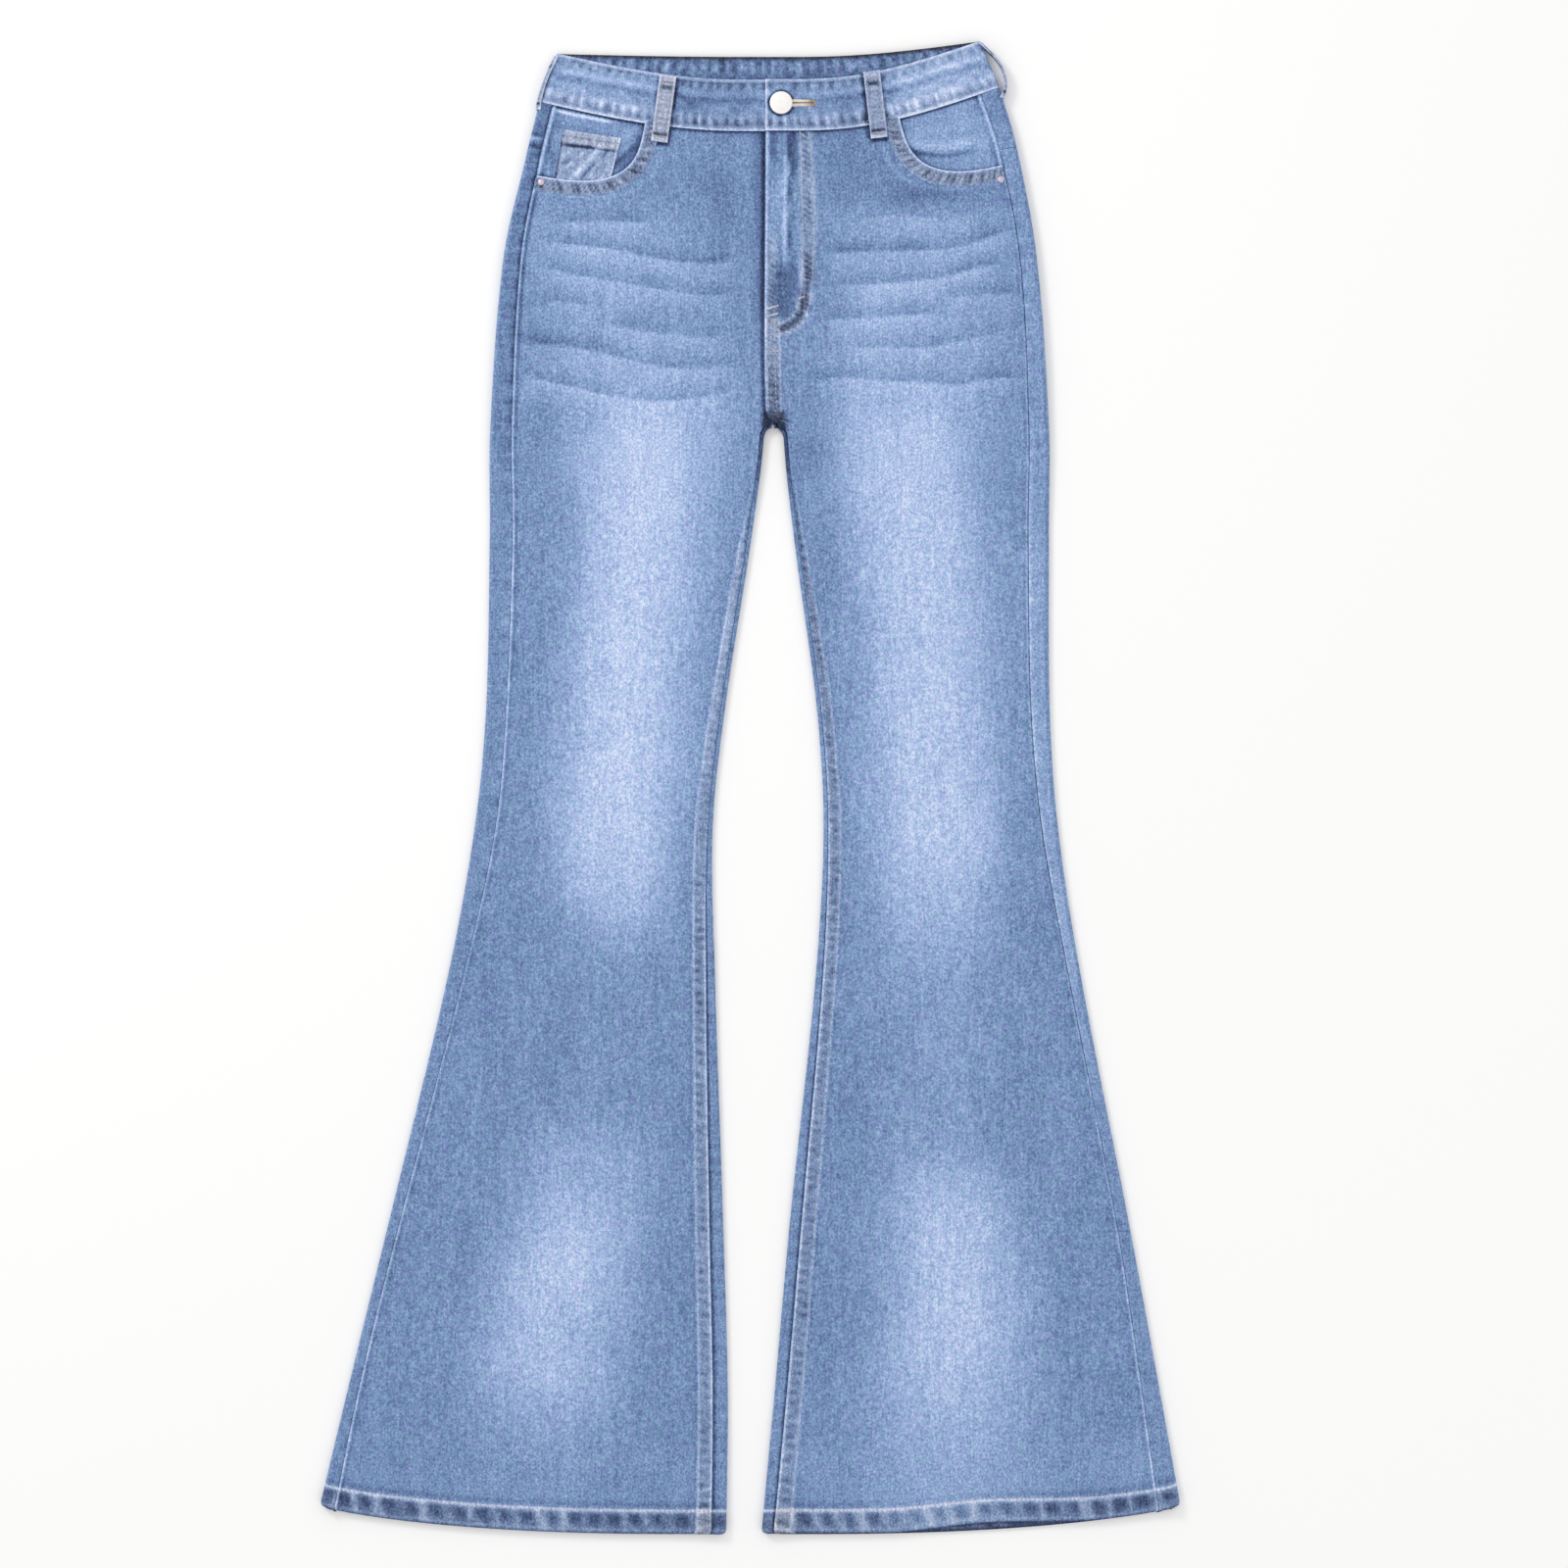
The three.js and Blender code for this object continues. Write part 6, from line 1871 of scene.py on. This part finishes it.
def turned_metal(name, profile, sides, place, node, material):
    """A piece of metal turned to a profile of radii and heights, closed at both ends."""
    bpy.ops.object.select_all(action="DESELECT")
    bpy.ops.mesh.primitive_circle_add(
        vertices=sides, radius=profile[0][0] * MM, fill_type="NGON", location=(0, 0, profile[0][1] * MM)
    )
    piece = bpy.context.object
    piece.name = name
    bpy.ops.object.mode_set(mode="EDIT")
    bpy.ops.mesh.select_all(action="SELECT")
    for (was, low), (radius, high) in zip(profile[:-1], profile[1:]):
        bpy.ops.mesh.extrude_region_move(TRANSFORM_OT_translate={"value": (0, 0, (high - low) * MM)})
        bpy.ops.transform.resize(value=(radius / was, radius / was, 1))
    bpy.ops.mesh.select_all(action="SELECT")
    bpy.ops.mesh.normals_make_consistent(inside=False)
    bpy.ops.transform.translate(value=tuple(c * MM for c in place))
    bpy.ops.object.mode_set(mode="OBJECT")
    bpy.ops.object.transform_apply(location=True, rotation=True, scale=True)
    piece.data.materials.append(material)
    shade_cloth(piece, 40)
    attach(piece, "root")
    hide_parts(node)
    return piece


def metal(name, pale, dark, roughness, metallic):
    material, shader = new_material(name, roughness)
    links = material.node_tree.links
    shader.inputs["Metallic"].default_value = metallic
    space = node_of(material, "ShaderNodeTexCoord").outputs["Object"]
    wear = noise_of(material, space, (260, 260, 260), 3)
    ramp = material.node_tree.nodes.new("ShaderNodeValToRGB")
    ramp.color_ramp.elements[0].position = 0.3
    ramp.color_ramp.elements[0].color = linear(dark)
    ramp.color_ramp.elements[1].position = 0.6
    ramp.color_ramp.elements[1].color = linear(pale)
    links.new(wear, ramp.inputs["Fac"])
    links.new(ramp.outputs["Color"], shader.inputs["Base Color"])
    rough = math_of(material, "MULTIPLY_ADD", wear, 0.25, roughness - 0.1)
    links.new(rough, shader.inputs["Roughness"])
    scratches = noise_of(material, space, (2200, 500, 900), 2)
    bump = node_of(material, "ShaderNodeBump", Strength=0.12, Distance=0.0001)
    links.new(scratches, bump.inputs["Height"])
    links.new(bump.outputs["Normal"], shader.inputs["Normal"])
    return material


# Near-white and only a little metallic: the colour stands in for the button's bright reflection.
pale_metal = metal("pale_metal", (255, 253, 249), (250, 246, 241), 0.32, 0.3)
button_place = (BUTTON["x"], BUTTON["y"], band_face(1e3))
turned_metal("waist_button", BUTTON_PROFILE, 64, button_place, "button", pale_metal)

HOLE_THREAD = thread_material("buttonhole_thread", ((222, 208, 194), (170, 150, 136), (242, 234, 222)))
surface = surface_of(band)
HOLE_REACH = 1.55
hole_end = SLIT["end"] - 0.6
outline = [(BUTTON["x"] + 5, BUTTON["y"] + HOLE_REACH + 0.4), (38, BUTTON["y"] + HOLE_REACH + 0.1)]
outline += [(hole_end - 1, BUTTON["y"] + HOLE_REACH), (hole_end + 0.9, BUTTON["y"] + 0.8)]
outline += [(hole_end + 1.3, BUTTON["y"]), (hole_end + 0.9, BUTTON["y"] - 0.8)]
outline += [(hole_end - 1, BUTTON["y"] - HOLE_REACH), (38, BUTTON["y"] - HOLE_REACH - 0.1)]
outline += [(BUTTON["x"] + 5, BUTTON["y"] - HOLE_REACH - 0.4)]
ring = stitch_line(surface, outline, 0.3, pitch=0.5)
inner_ring = [(x, BUTTON["y"] + (y - BUTTON["y"]) * 0.55) for x, y in outline]
bead = stitch_line(surface, inner_ring, 0.45, pitch=0.9)
stitches("buttonhole_thread_ring", [ring], HOLE_THREAD, length=2.3, width=0.6, across=True, seed=41)
stitches("buttonhole_thread_bead", [bead], HOLE_THREAD, length=1.6, width=1.1, seed=42)

# Pocket rivets
# Small pinkish copper rivets where the pocket mouths meet the side seams.

RIVET_PROFILE = ((2.3, 0.0), (2.35, 0.35), (2.1, 0.62), (1.75, 0.7), (1.5, 0.68), (1.1, 0.85), (0.6, 1.02), (0.15, 1.1))
pink_metal = metal("pink_metal", (222, 206, 220), (184, 168, 190), 0.4, 0.6)
for leg in LEGS:
    x, y = leg["rivet"]
    z = float(face_above(leg, np.array([x]), np.array([y]))[0]) + GAP
    name = f"rivet_{leg['name']}"
    turned_metal(f"pocket_{name}", RIVET_PROFILE, 32, (x, y, z), name, pink_metal)

# Pale floor, world and lights
# A white table under even, soft light from above, a little stronger from the upper left.

bpy.ops.mesh.primitive_grid_add(x_subdivisions=8, y_subdivisions=8, size=8, location=(0, 0, 0))
floor = bpy.context.object
floor.name = "floor"
floor_material, floor_shader = new_material("floor_white", 0.9)
floor_shader.inputs["Base Color"].default_value = (0.985, 0.98, 0.975, 1)
floor_shader.inputs["Specular IOR Level"].default_value = 0.0
floor.data.materials.append(floor_material)

world = bpy.data.worlds.new("soft_studio")
world.use_nodes = True
world.node_tree.nodes["Background"].inputs["Color"].default_value = (1, 1, 1, 1)
world.node_tree.nodes["Background"].inputs["Strength"].default_value = 0.83
bpy.context.scene.world = world


def area_light(name, place, size, power):
    light = bpy.data.lights.new(name, "AREA")
    light.shape = "DISK"
    light.size = size
    light.energy = power
    lamp = bpy.data.objects.new(name, light)
    lamp.location = place
    lamp.rotation_mode = "QUATERNION"
    lamp.rotation_quaternion = (-Vector(place)).to_track_quat("-Z", "Y")
    bpy.context.scene.collection.objects.link(lamp)


area_light("key", (-1.9, 1.9, 1.7), 0.9, 28)
area_light("fill", (2.2, -1.2, 2.2), 1.6, 6)
bpy.context.scene.view_settings.view_transform = "Standard"
